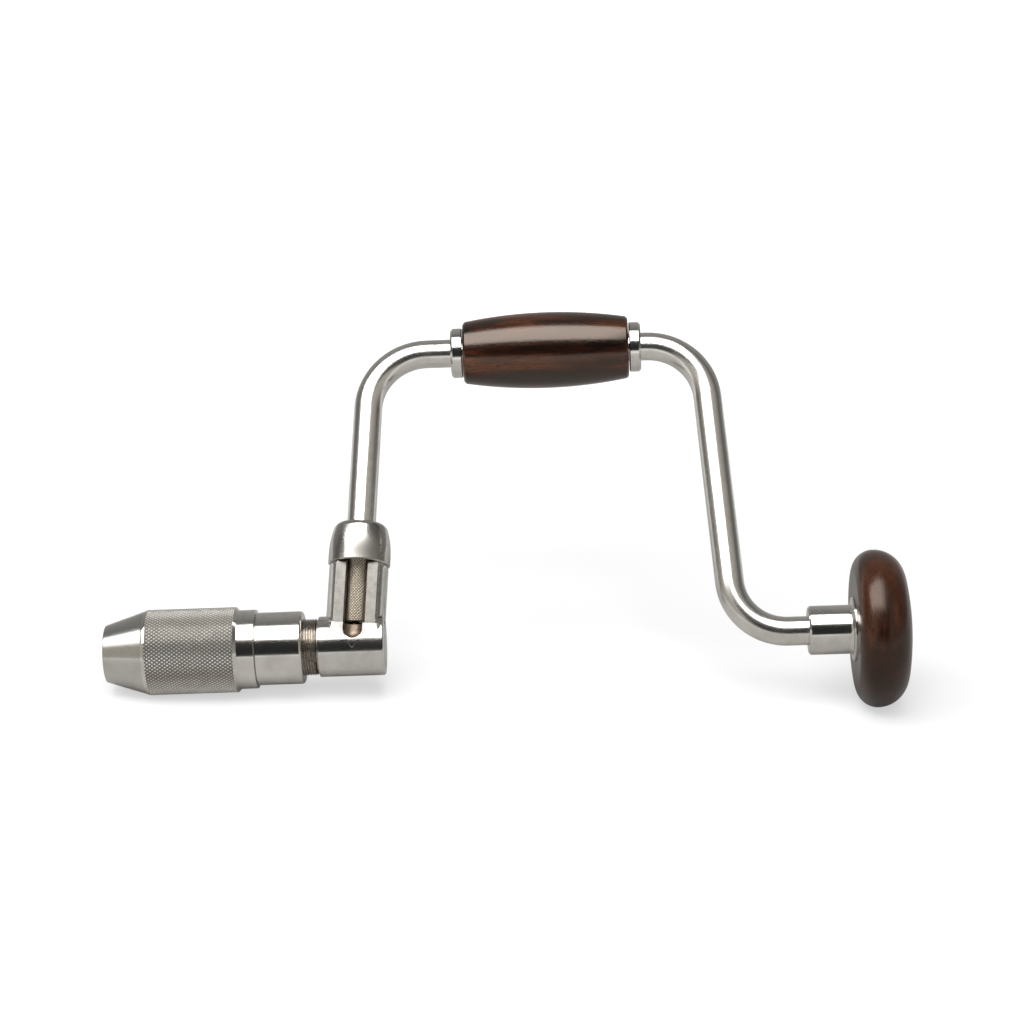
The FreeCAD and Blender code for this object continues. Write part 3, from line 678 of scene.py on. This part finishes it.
def copy_of_node(node: str, name: str) -> Piece:
    """Copies a CAD node's mesh to a piece of its own and merges its loose triangles.

    Args:
        node: The CAD node's name.
        name: The new object's name.

    Returns:
        The copy, with one skin.
    """
    piece = bpy.data.objects.new(name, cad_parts[node].data.copy())
    piece.data.name = name
    bpy.context.scene.collection.objects.link(piece)
    with editing(piece):
        bpy.ops.mesh.remove_doubles(threshold=SAME_POINT)
    return piece


def smooth(piece: Piece, degrees: float) -> None:
    """Shades a piece smooth where its faces meet at less than an angle.

    Args:
        piece: The piece.
        degrees: The angle.
    """
    make_active(piece)
    bpy.ops.object.shade_smooth_by_angle(angle=math.radians(degrees))


def even_shading(piece: Piece, weight: int = 80) -> None:
    """Lets the broad faces set the shading, so that a narrow chamfer beside them doesn't bend it.

    Args:
        piece: The piece, already shaded smooth.
        weight: How much more a broad face counts, from 50 for no more to 100.
    """
    make_active(piece)
    even = piece.modifiers.new("even shading", "WEIGHTED_NORMAL")
    even.keep_sharp = True
    even.weight = weight
    bpy.ops.object.modifier_apply(modifier="even shading")


def dress(piece: Piece, *finishes: Material) -> None:
    """Gives a piece its materials.

    Args:
        piece: The piece.
        finishes: The materials in slot order.
    """
    piece.data.materials.clear()
    for finish in finishes:
        piece.data.materials.append(finish)


def place(piece: Piece, body: str, slot: str, *nodes: str) -> None:
    """Puts a piece on its body in the place of CAD nodes.

    Args:
        piece: The finished piece.
        body: The body that it moves with.
        slot: The record's material slot. Not used.
        nodes: The CAD nodes that it stands for.
    """
    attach(piece, body)
    if nodes:
        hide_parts(*nodes)
    log.info("%s on %s: %d faces", piece.name, body, len(piece.data.polygons))


@dataclass
class ChuckShell:
    """The shell that the hand turns: nose cone, diamond knurl, plain collar and one bore."""

    mouth_r: float = 8.0
    mouth_length: float = 4.9
    lip: float = 0.2
    rim_r: float = 11.9
    cone_length: float = 16.8
    shell_r: float = 17.75
    knurl_start: float = 18.2
    knurl_end: float = 54.6
    knurl_depth: float = 0.5
    knurl_around: int = 72
    stud_length: float = 2.08
    sunk: float = 0.02
    collar_r: float = 16.4
    collar_start: float = 55.95
    collar_end: float = 63.15
    bore_r: float = 12.2
    ring_start: float = 19.46
    ring_width: float = 1.0
    ring_r: float = 13.0
    nut_r: float = 13.45
    nut_start: float = 49.35
    steps: int = 144
    smooth_angle: float = 28.0

    # The broken edges, each as steps along the axis and out from its radius.
    rim_edge: tuple = ((0.0, -0.45), (0.08, -0.2), (0.3, 0.02))
    cone_edge: tuple = ((-0.4, -0.58), (0.0, -0.42), (0.5, -0.2))
    land_edge: tuple = ((-0.35, -0.06), (0.0, -0.03))
    collar_edge: tuple = ((-0.4, 0.0), (-0.12, -0.12), (0.0, -0.4))
    collar_fillet: tuple = ((-0.12, 0.14), (0.0, 0.0))

    def outline(self) -> list[Pair]:
        """Draws the shell's section from the mouth along the outside and back along the bore.

        Returns:
            The closed outline's (x, r) corners in millimetres.
        """
        floor = self.shell_r - self.knurl_depth
        ring_end = self.ring_start + self.ring_width
        return [
            (0.0, self.mouth_r + self.lip),
            *edge_at(0.0, self.rim_r, self.rim_edge),
            *edge_at(self.cone_length, self.shell_r, self.cone_edge),
            *edge_at(self.knurl_start, self.shell_r, self.land_edge),
            (self.knurl_start + self.sunk, floor), (self.knurl_end - self.sunk, floor),
            (self.knurl_end, self.shell_r - self.sunk),
            *edge_at(self.collar_start, self.collar_r, self.collar_fillet),
            *edge_at(self.collar_end, self.collar_r, self.collar_edge),
            (self.collar_end, self.nut_r), (self.nut_start, self.nut_r),
            (self.nut_start, self.bore_r), (ring_end, self.bore_r), (ring_end, self.ring_r),
            (self.ring_start, self.ring_r), (self.ring_start, self.bore_r),
            (self.mouth_length, self.bore_r), (self.mouth_length, self.mouth_r),
            (self.lip, self.mouth_r)]

    def build(self, finishes: Finishes) -> None:
        """Turns the shell, knurls it and puts it on its body.

        Args:
            finishes: The finishes of the brace.
        """
        body = lathe("chuck_shell_turned", self.outline(), self.steps)
        smooth(body, self.smooth_angle)
        even_shading(body)
        dress(body, finishes.turned, finishes.satin)
        for face in body.data.polygons:
            face.material_index = int(face.center.x < self.cone_length * MM)
        knurl = DiamondKnurl("chuck_knurl", self.knurl_start, self.knurl_end, self.shell_r,
                             self.knurl_depth + self.sunk, self.knurl_around,
                             self.stud_length).build()
        dress(knurl, finishes.knurl)
        place(body, "shell", "plated_shell", "chuck_shell")
        place(knurl, "shell", "plated_shell")


def edge_at(x: float, r: float, steps: tuple) -> list[Pair]:
    """Places a broken edge on an outline.

    Args:
        x: Where the edge is along the axis.
        r: Its radius.
        steps: The edge's corners as steps from there, along the axis and outward.

    Returns:
        The (x, r) corners.
    """
    return [(x + dx, r + dr) for dx, dr in steps]


@dataclass
class ThreadedSpindle:
    """The spindle with a cut thread where it shows between the sleeve and the head."""

    thread_r: float = 11.75
    depth: float = 0.55
    pitch: float = 1.06
    flank_share: float = 0.42
    start: float = 68.0
    turns: int = 19
    steps: int = 48
    sunk: float = 0.02
    neck_x: float = 88.0
    core_angle: float = 28.0
    ridge_angle: float = 30.0

    # The outer wall's points are those that lie this far over the root, up to this past the neck.
    wall_margin: float = 0.1
    neck_margin: float = 0.3

    def build(self, finishes: Finishes) -> None:
        """Lowers the spindle's outer wall to the thread's root and winds the thread on it.

        Args:
            finishes: The finishes of the brace.
        """
        core = copy_of_node("chuck_spindle", "chuck_spindle_turned")
        root = self.thread_r - self.depth
        wall_r = (root + self.wall_margin) * MM
        wall_end = (self.neck_x + self.neck_margin) * MM
        for v in core.data.vertices:
            v.select = math.hypot(v.co.y, v.co.z) > wall_r and v.co.x < wall_end
        with editing(core, everything=False):
            bpy.ops.mesh.select_mode(type="VERT")
            scale = root / self.thread_r
            bpy.ops.transform.resize(value=(1.0, scale, scale), center_override=(0, 0, 0))
        smooth(core, self.core_angle)
        dress(core, finishes.thread)
        place(core, "spindle", "turned_steel", "chuck_spindle")
        ridge = self.ridge()
        dress(ridge, finishes.thread)
        place(ridge, "spindle", "turned_steel")

    def ridge(self) -> Piece:
        """Winds the thread's ridge from one tooth's outline with a Screw modifier.

        Returns:
            The ridge, cut square at the head.
        """
        piece = open_point("chuck_spindle_thread")
        flank = self.pitch * self.flank_share
        crest = self.pitch - 2 * flank
        draw((self.start, self.thread_r - self.depth - self.sunk),
             [(flank, self.depth), (crest, 0.0), (flank, -self.depth)])
        bpy.ops.object.mode_set(mode="OBJECT")
        screw = piece.modifiers.new("thread", "SCREW")
        screw.axis = "X"
        screw.screw_offset = self.pitch * MM
        screw.iterations = self.turns
        screw.steps = screw.render_steps = self.steps
        screw.use_merge_vertices = True
        screw.merge_threshold = SAME_SEAM
        bpy.ops.object.modifier_apply(modifier="thread")
        with editing(piece):
            bpy.ops.mesh.remove_doubles(threshold=2 * SAME_SEAM)
            bpy.ops.mesh.bisect(plane_co=(self.neck_x * MM, 0, 0), plane_no=(1, 0, 0),
                                clear_outer=True)
            bpy.ops.mesh.select_all(action="SELECT")
            bpy.ops.mesh.normals_make_consistent(inside=False)
        smooth(piece, self.ridge_angle)
        return piece


@dataclass
class RatchetHead:
    """The head with broken edges, a browned pocket, matt flats and a dull index mark."""

    edge: float = 0.2
    barrel_r: float = 12.55
    pocket_half: float = 4.37
    pocket_front: float = 12.35
    pocket_foot: float = 0.3
    pocket_top: float = 36.0
    pocket_back: float = 1.7
    flat_y: float = -8.8
    mark_y: float = -11.2
    mark_foot: float = -4.2
    edge_angle: float = 35.0

    # Faces count as one plane up to this angle, and as on a plane or a wall up to this distance.
    same_plane: float = 0.6
    near: float = 0.05

    def finish_of(self, centre: Vector) -> HeadFinish:
        """Tells which finish a face has from where it lies.

        Args:
            centre: The face's centre in metres.

        Returns:
            The material slot.
        """
        local = Matrix.Rotation(-ARM_SPLAY, 3, "Y") @ (centre / MM - Vector((HEAD_X, 0, 0)))
        in_slot = (abs(local.x) < self.pocket_half
                   and -self.pocket_front < local.y < self.pocket_back)
        if in_slot and self.pocket_foot < local.z < self.pocket_top:
            return HeadFinish.POCKET
        sunk = math.hypot(centre.y, centre.z) < (self.barrel_r - self.near) * MM
        if sunk and centre.y < self.mark_y * MM and self.mark_foot * MM < centre.z < 0.0:
            return HeadFinish.MARK
        if abs(centre.y / MM - self.flat_y) < self.near and local.z > self.barrel_r / 2:
            return HeadFinish.FLAT
        return HeadFinish.PLATE

    def build(self, finishes: Finishes) -> None:
        """Breaks the edges of the head and dresses it.

        Args:
            finishes: The finishes of the brace.
        """
        head = copy_of_node("ratchet_head", "ratchet_head_dressed")
        with editing(head):
            bpy.ops.mesh.dissolve_limited(angle_limit=math.radians(self.same_plane))
        dress(head, finishes.head, finishes.pocket, finishes.mark, finishes.milled)
        for face in head.data.polygons:
            face.material_index = self.finish_of(face.center).value
        bevel = head.modifiers.new("broken edges", "BEVEL")
        bevel.width = self.edge * MM
        bevel.segments = 2
        bevel.limit_method = "ANGLE"
        bevel.angle_limit = math.radians(self.edge_angle)
        bpy.ops.object.modifier_apply(modifier="broken edges")
        smooth(head, self.edge_angle)
        even_shading(head)
        place(head, "crank", "plated_head", "ratchet_head")


@dataclass
class Selector:
    """The knurled pin in the head's pocket, hollow for the pawl and its spring."""

    r: float = 4.3
    bottom: float = 9.1
    top: float = 37.95
    bore_r: float = 2.55
    bore_top: float = 31.0
    centre_r: float = 0.01
    land: float = 0.5
    knurl_depth: float = 0.32
    knurl_around: int = 20
    stud_length: float = 1.36
    sunk: float = 0.02
    steps: int = 64
    smooth_angle: float = 30.0

    # The broken edges, as steps along the axis and out from the pin's radius.
    bottom_edge: tuple = ((0.0, -0.45), (0.12, -0.2), (0.4, -0.04))
    top_edge: tuple = ((-0.4, -0.04), (0.0, -0.45))

    def outline(self) -> list[Pair]:
        """Draws the pin's section, lying along the X axis.

        Returns:
            The closed outline's (x, r) corners in millimetres.
        """
        floor = self.r - self.knurl_depth
        return [
            (self.bottom, self.bore_r),
            *edge_at(self.bottom, self.r, self.bottom_edge),
            (self.bottom + self.land, floor), (self.top - self.land, floor),
            *edge_at(self.top, self.r, self.top_edge),
            (self.top, self.centre_r), (self.bore_top, self.centre_r),
            (self.bore_top, self.bore_r)]

    def build(self, finishes: Finishes) -> None:
        """Turns and knurls the selector and carries it onto the head's leaning axis.

        Args:
            finishes: The finishes of the brace.
        """
        body = lathe("selector_turned", self.outline(), self.steps)
        smooth(body, self.smooth_angle)
        knurl = DiamondKnurl("selector_knurl", self.bottom + self.land, self.top - self.land,
                             self.r, self.knurl_depth + self.sunk, self.knurl_around,
                             self.stud_length).build()
        upright = Matrix.Rotation(-math.pi / 2, 4, "Y")
        lean = Matrix.Translation((HEAD_X * MM, 0, 0)) @ Matrix.Rotation(ARM_SPLAY, 4, "Y")
        for piece in (body, knurl):
            make_active(piece)
            piece.matrix_world = lean @ Matrix.Translation((0, SELECTOR_Y * MM, 0)) @ upright
            bpy.ops.object.transform_apply(location=True, rotation=True, scale=True)
            dress(piece, finishes.selector)
        place(body, "selector", "selector_steel", "selector_sleeve")
        place(knurl, "selector", "selector_steel")


@dataclass
class PawlSpring:
    """The coil spring over the pawl, carried whole on the pawl. The real spring's top stays in the
    bore.
    """

    foot: float = 20.05
    length: float = 10.9
    lift: float = 2.1
    smooth_angle: float = 40.0

    def build(self, finishes: Finishes) -> None:
        """Copies the wound wire, puts it on the pawl and gives it a mesh of its own.

        Args:
            finishes: The finishes of the brace.
        """
        coil = copy_of_node("pawl_spring", "pawl_coil")
        smooth(coil, self.smooth_angle)
        dress(coil, finishes.wire)
        place(coil, "pawl", "spring_wire", "pawl_spring")
        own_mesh(coil)


@dataclass
class CarriedNodes:
    """The CAD nodes whose shape is right as it is. Each gets its finish."""

    finishes: Finishes

    def build(self) -> None:
        """Dresses the nodes that no piece replaces."""
        f = self.finishes
        groups = {
            f.rod: ["crank_rod"],
            f.turned: ["grip_collar_near", "grip_collar_far", "pad_neck", "shell_nut"],
            f.ring: ["ring_cap"],
            f.head: ["head_end_plug"],
            f.hard: ["chuck_balls", "pad_balls", "jaw_cone", "pad_inner_race",
                     "pad_outer_race", "ratchet_wheel"],
            f.plain: ["wheel_key", "wheel_nut", "wheel_washer", "pad_washer", "pad_spindle_nut",
                      "head_cross_pin", "selector_key_pin", "thrust_washer"],
            f.dark: ["jaw_upper", "jaw_lower", "pawl_plunger", "cone_snap_ring"],
            f.wire: ["jaw_spring"],
            f.bronze: ["chuck_ball_cage", "pad_ball_cage", "pad_bush"],
            f.grip_wood: ["wood_grip"],
            f.pad_wood: ["pad_wood"],
        }
        for finish, names in groups.items():
            for name in names:
                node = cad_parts[name]
                for slot in node.material_slots:
                    slot.material = finish
                if not node.material_slots:
                    node.data.materials.append(finish)
                log.info("%s dressed in %s", name, finish.name)


@dataclass
class Studio:
    """A pale floor that the chuck and the pad rest on, a room with a dark wall, and two lights.

    The distances and sizes of the lights and of the floor are in metres, angles in radians.
    """

    # What touches the floor: the shell at its widest and the pad's rim.
    shell_r: float = ChuckShell.shell_r
    touch_x: float = 18.2
    pad_x: float = 319.3
    pad_r: float = 32.6

    # The camera, as fitted to the photograph, and its height over the floor as an angle.
    camera_height: float = math.radians(18.5)
    lens: float = 94.92
    camera_place: Place = (201.378, -1090.969, -259.613)
    pitch: float = 0.28103
    yaw: float = -0.028405
    roll: float = 0.026810

    # The large soft box overhead, which the metal mirrors.
    box_distance: float = 1.3
    box_lean: float = math.radians(18.0)
    box_shift: float = -0.57
    box_size: Pair = (1.97, 1.1)
    box_power: float = 39.0

    # The weaker light in front, which it doesn't.
    fill_distance: float = 2.2
    fill_lean: float = math.radians(50.0)
    fill_size: Pair = (1.6, 1.6)
    fill_power: float = 45.0
    light_aim: Place = (0.17, 0.0, 0.03)
    light_colour: Place = (1.0, 0.995, 0.985)

    # The floor shines a little under the brace and more from the first reach to the second.
    floor_size: float = 9.0
    floor_middle: Place = (0.16, 0.0, 0.0)
    floor_reach: Pair = (0.2, 0.8)
    camera_glow: Pair = (0.56, 1.0)
    mirror_glow: Pair = (0.05, 0.5)
    floor_paint: str = "#8e8e90"
    mirrored_paint: str = "#8e8d8b"

    # The room's greys, from behind the brace (0) to behind the camera (1).
    wall_tones: tuple[tuple[float, str], ...] = (
        (0.0, "#aaa8a5"), (0.25, "#8e8d8b"), (0.4, "#666564"), (0.5, "#706f6e"),
        (0.54, "#928f8a"), (0.72, "#b8b3aa"))

    # The dark around the camera, as sines and cosines of where it fades out and is full.
    dark_tone: str = "#292a2b"
    dark_top: Pair = (0.76, 0.68)
    dark_sides: Pair = (0.5, 0.36)
    dark_front: float = 0.2

    def camera_axes(self) -> tuple[Vector, Vector, Vector]:
        """Finds how the camera is turned.

        Returns:
            The camera's right, up and forward directions in the brace's frame.
        """
        forward = Vector((math.sin(self.yaw) * math.cos(self.pitch),
                          math.cos(self.yaw) * math.cos(self.pitch), math.sin(self.pitch)))
        right = Vector((math.cos(self.yaw), -math.sin(self.yaw), 0.0))
        down = forward.cross(right)
        turned_right = math.cos(self.roll) * right + math.sin(self.roll) * down
        turned_down = -math.sin(self.roll) * right + math.cos(self.roll) * down
        return turned_right, -turned_down, forward

    def floor_normal(self) -> Vector:
        """Finds the floor that touches the shell and the pad's rim.

        Returns:
            The floor's upward direction.
        """
        along = (self.pad_r - self.shell_r) / (self.pad_x - self.touch_x)
        lean = self.pitch + self.camera_height
        across = math.sqrt(1 - along ** 2)
        return Vector((along, -across * math.sin(lean), across * math.cos(lean)))

    def toward_camera(self) -> Vector:
        """Finds where the camera stands, seen from the brace.

        Returns:
            The level direction from the brace to the camera.
        """
        normal = self.floor_normal()
        forward = self.camera_axes()[2]
        return (-forward + forward.dot(normal) * normal).normalized()

    def add_camera(self) -> None:
        """Adds the camera at the photograph's viewing place."""
        data = bpy.data.cameras.new("camera")
        data.lens = self.lens
        data.sensor_width = 36.0
        data.clip_end = 50.0
        camera = bpy.data.objects.new("camera", data)
        right, up, forward = self.camera_axes()
        turn = Matrix((right, up, -forward)).transposed().to_4x4()
        camera.matrix_world = Matrix.Translation(Vector(self.camera_place) * MM) @ turn
        bpy.context.scene.collection.objects.link(camera)
        bpy.context.scene.camera = camera

    def add_floor(self) -> None:
        """Adds the floor. It is clear from below, so that a view from there shows the brace."""
        normal = self.floor_normal()
        depth = self.shell_r * math.sqrt(1 - normal.x ** 2) - normal.x * self.touch_x
        clear_selection()
        bpy.ops.mesh.primitive_grid_add(x_subdivisions=4, y_subdivisions=4, size=self.floor_size)
        floor = bpy.context.object
        floor.name = floor.data.name = "studio_floor"
        centre = Vector(self.floor_middle)
        foot = centre - (centre.dot(normal) + depth * MM) * normal
        upright = normal.to_track_quat("Z", "Y").to_matrix().to_4x4()
        floor.matrix_world = Matrix.Translation(foot) @ upright
        bpy.ops.object.transform_apply(location=True, rotation=True, scale=True)
        dress(floor, self.floor_material())

    def floor_material(self) -> Material:
        """Builds the floor's paint: white to the camera and to mirrors, with the shadows on it.

        Returns:
            The finished material.
        """
        material, tree = new_tree("white sweep")
        path = add_node(tree, "ShaderNodeLightPath")
        spot = add_node(tree, "ShaderNodeTexCoord").outputs["Object"]
        reach = calculate(tree, "DISTANCE", spot, self.floor_middle, kind=VECTOR_MATH)
        far = fade(tree, reach, *self.floor_reach)
        seen = calculate(tree, "MAXIMUM", path.outputs["Is Glossy Ray"],
                         path.outputs["Is Transmission Ray"])
        in_mirror = fade(tree, far, ends=self.mirror_glow, eased=False)
        in_camera = fade(tree, far, ends=self.camera_glow, eased=False)
        mirrored = calculate(tree, "MULTIPLY", seen, in_mirror)
        glow = calculate(tree, "MULTIPLY_ADD", path.outputs["Is Camera Ray"], in_camera, mirrored)
        paint = mix_colours(tree, seen, colour(self.floor_paint), colour(self.mirrored_paint))
        matte = add_node(tree, "ShaderNodeBsdfDiffuse", {"Color": paint})
        light = add_node(tree, "ShaderNodeEmission", {
            "Color": colour("#ffffff"), "Strength": glow})
        both = add_node(tree, "ShaderNodeAddShader", {
            0: matte.outputs["BSDF"], 1: light.outputs["Emission"]})
        clear = add_node(tree, "ShaderNodeBsdfTransparent")
        side = add_node(tree, "ShaderNodeNewGeometry")
        mixed = add_node(tree, "ShaderNodeMixShader", {
            0: side.outputs["Backfacing"], 1: both.outputs["Shader"], 2: clear.outputs["BSDF"]})
        add_node(tree, "ShaderNodeOutputMaterial", {"Surface": mixed.outputs["Shader"]})
        return material

    def add_world(self) -> None:
        """Adds the room: grey above and behind, dark around the camera, white to the camera."""
        normal = self.floor_normal()
        towards = self.toward_camera()
        world = bpy.data.worlds.new("studio room")
        world.use_nodes = True
        tree = world.node_tree
        tree.nodes.clear()
        ray = add_node(tree, "ShaderNodeTexCoord").outputs["Generated"]
        height, front, side = (
            calculate(tree, "DOT_PRODUCT", ray, direction, kind=VECTOR_MATH)
            for direction in (normal, towards, normal.cross(towards)))
        low = fade(tree, height, *self.dark_top)
        near = fade(tree, calculate(tree, "ABSOLUTE", side), *self.dark_sides)
        ahead = calculate(tree, "GREATER_THAN", front, self.dark_front)
        dark = calculate(tree, "MULTIPLY", calculate(tree, "MULTIPLY", low, near), ahead)
        turn = fade(tree, front, -1.0, 1.0, eased=False)
        walls = colour_ramp(tree, turn, self.wall_tones)
        room = mix_colours(tree, dark, walls, colour(self.dark_tone))
        path = add_node(tree, "ShaderNodeLightPath")
        shown = mix_colours(tree, path.outputs["Is Camera Ray"], room, colour("#ffffff"))
        back = add_node(tree, "ShaderNodeBackground", {"Color": shown, "Strength": 1.0})
        add_node(tree, "ShaderNodeOutputWorld", {"Surface": back.outputs["Background"]})
        bpy.context.scene.world = world

    def add_light(self, name: str, lean: float, distance: float, shift: float,
                  size: Pair, power: float) -> Piece:
        """Adds a soft box that faces the brace from overhead.

        Args:
            name: The light's name.
            lean: How far its direction leans from the floor's normal to the camera, in radians.
            distance: How far it stands from the brace in metres.
            shift: How far it is moved to the camera's right in metres.
            size: Its width across the view and its length in metres.
            power: Its power in watts.

        Returns:
            The lamp.
        """
        normal = self.floor_normal()
        towards = self.toward_camera()
        side = normal.cross(towards).normalized()
        if side.dot(self.camera_axes()[0]) < 0:
            side = -side
        direction = math.cos(lean) * normal + math.sin(lean) * towards
        data = bpy.data.lights.new(name, "AREA")
        data.shape = "RECTANGLE"
        data.size, data.size_y = size
        data.energy = power
        data.color = self.light_colour
        lamp = bpy.data.objects.new(name, data)
        centre = Vector(self.light_aim) + shift * side
        turn = Matrix((side, direction.cross(side), direction)).transposed().to_4x4()
        lamp.matrix_world = Matrix.Translation(centre + direction * distance) @ turn
        bpy.context.scene.collection.objects.link(lamp)
        return lamp

    def add_lights(self) -> None:
        """Adds the soft box that the metal mirrors and the front light that it doesn't."""
        self.add_light("soft box", self.box_lean, self.box_distance, self.box_shift,
                       self.box_size, self.box_power)
        front = self.add_light("front light", self.fill_lean, self.fill_distance, 0.0,
                               self.fill_size, self.fill_power)
        front.visible_glossy = False

    def build(self) -> None:
        """Sets up camera, floor, room and light."""
        self.add_camera()
        self.add_floor()
        self.add_world()
        self.add_lights()
        bpy.context.scene.view_settings.view_transform = "Standard"


def main() -> None:
    """Builds the studio and the brace and notes the sizes."""
    logging.basicConfig(level=logging.INFO, format="%(name)s: %(message)s")
    Studio().build()
    finishes = Finishes()
    CarriedNodes(finishes).build()
    ChuckShell().build(finishes)
    ThreadedSpindle().build(finishes)
    RatchetHead().build(finishes)
    Selector().build(finishes)
    PawlSpring().build(finishes)


if __name__ == "__main__":
    main()
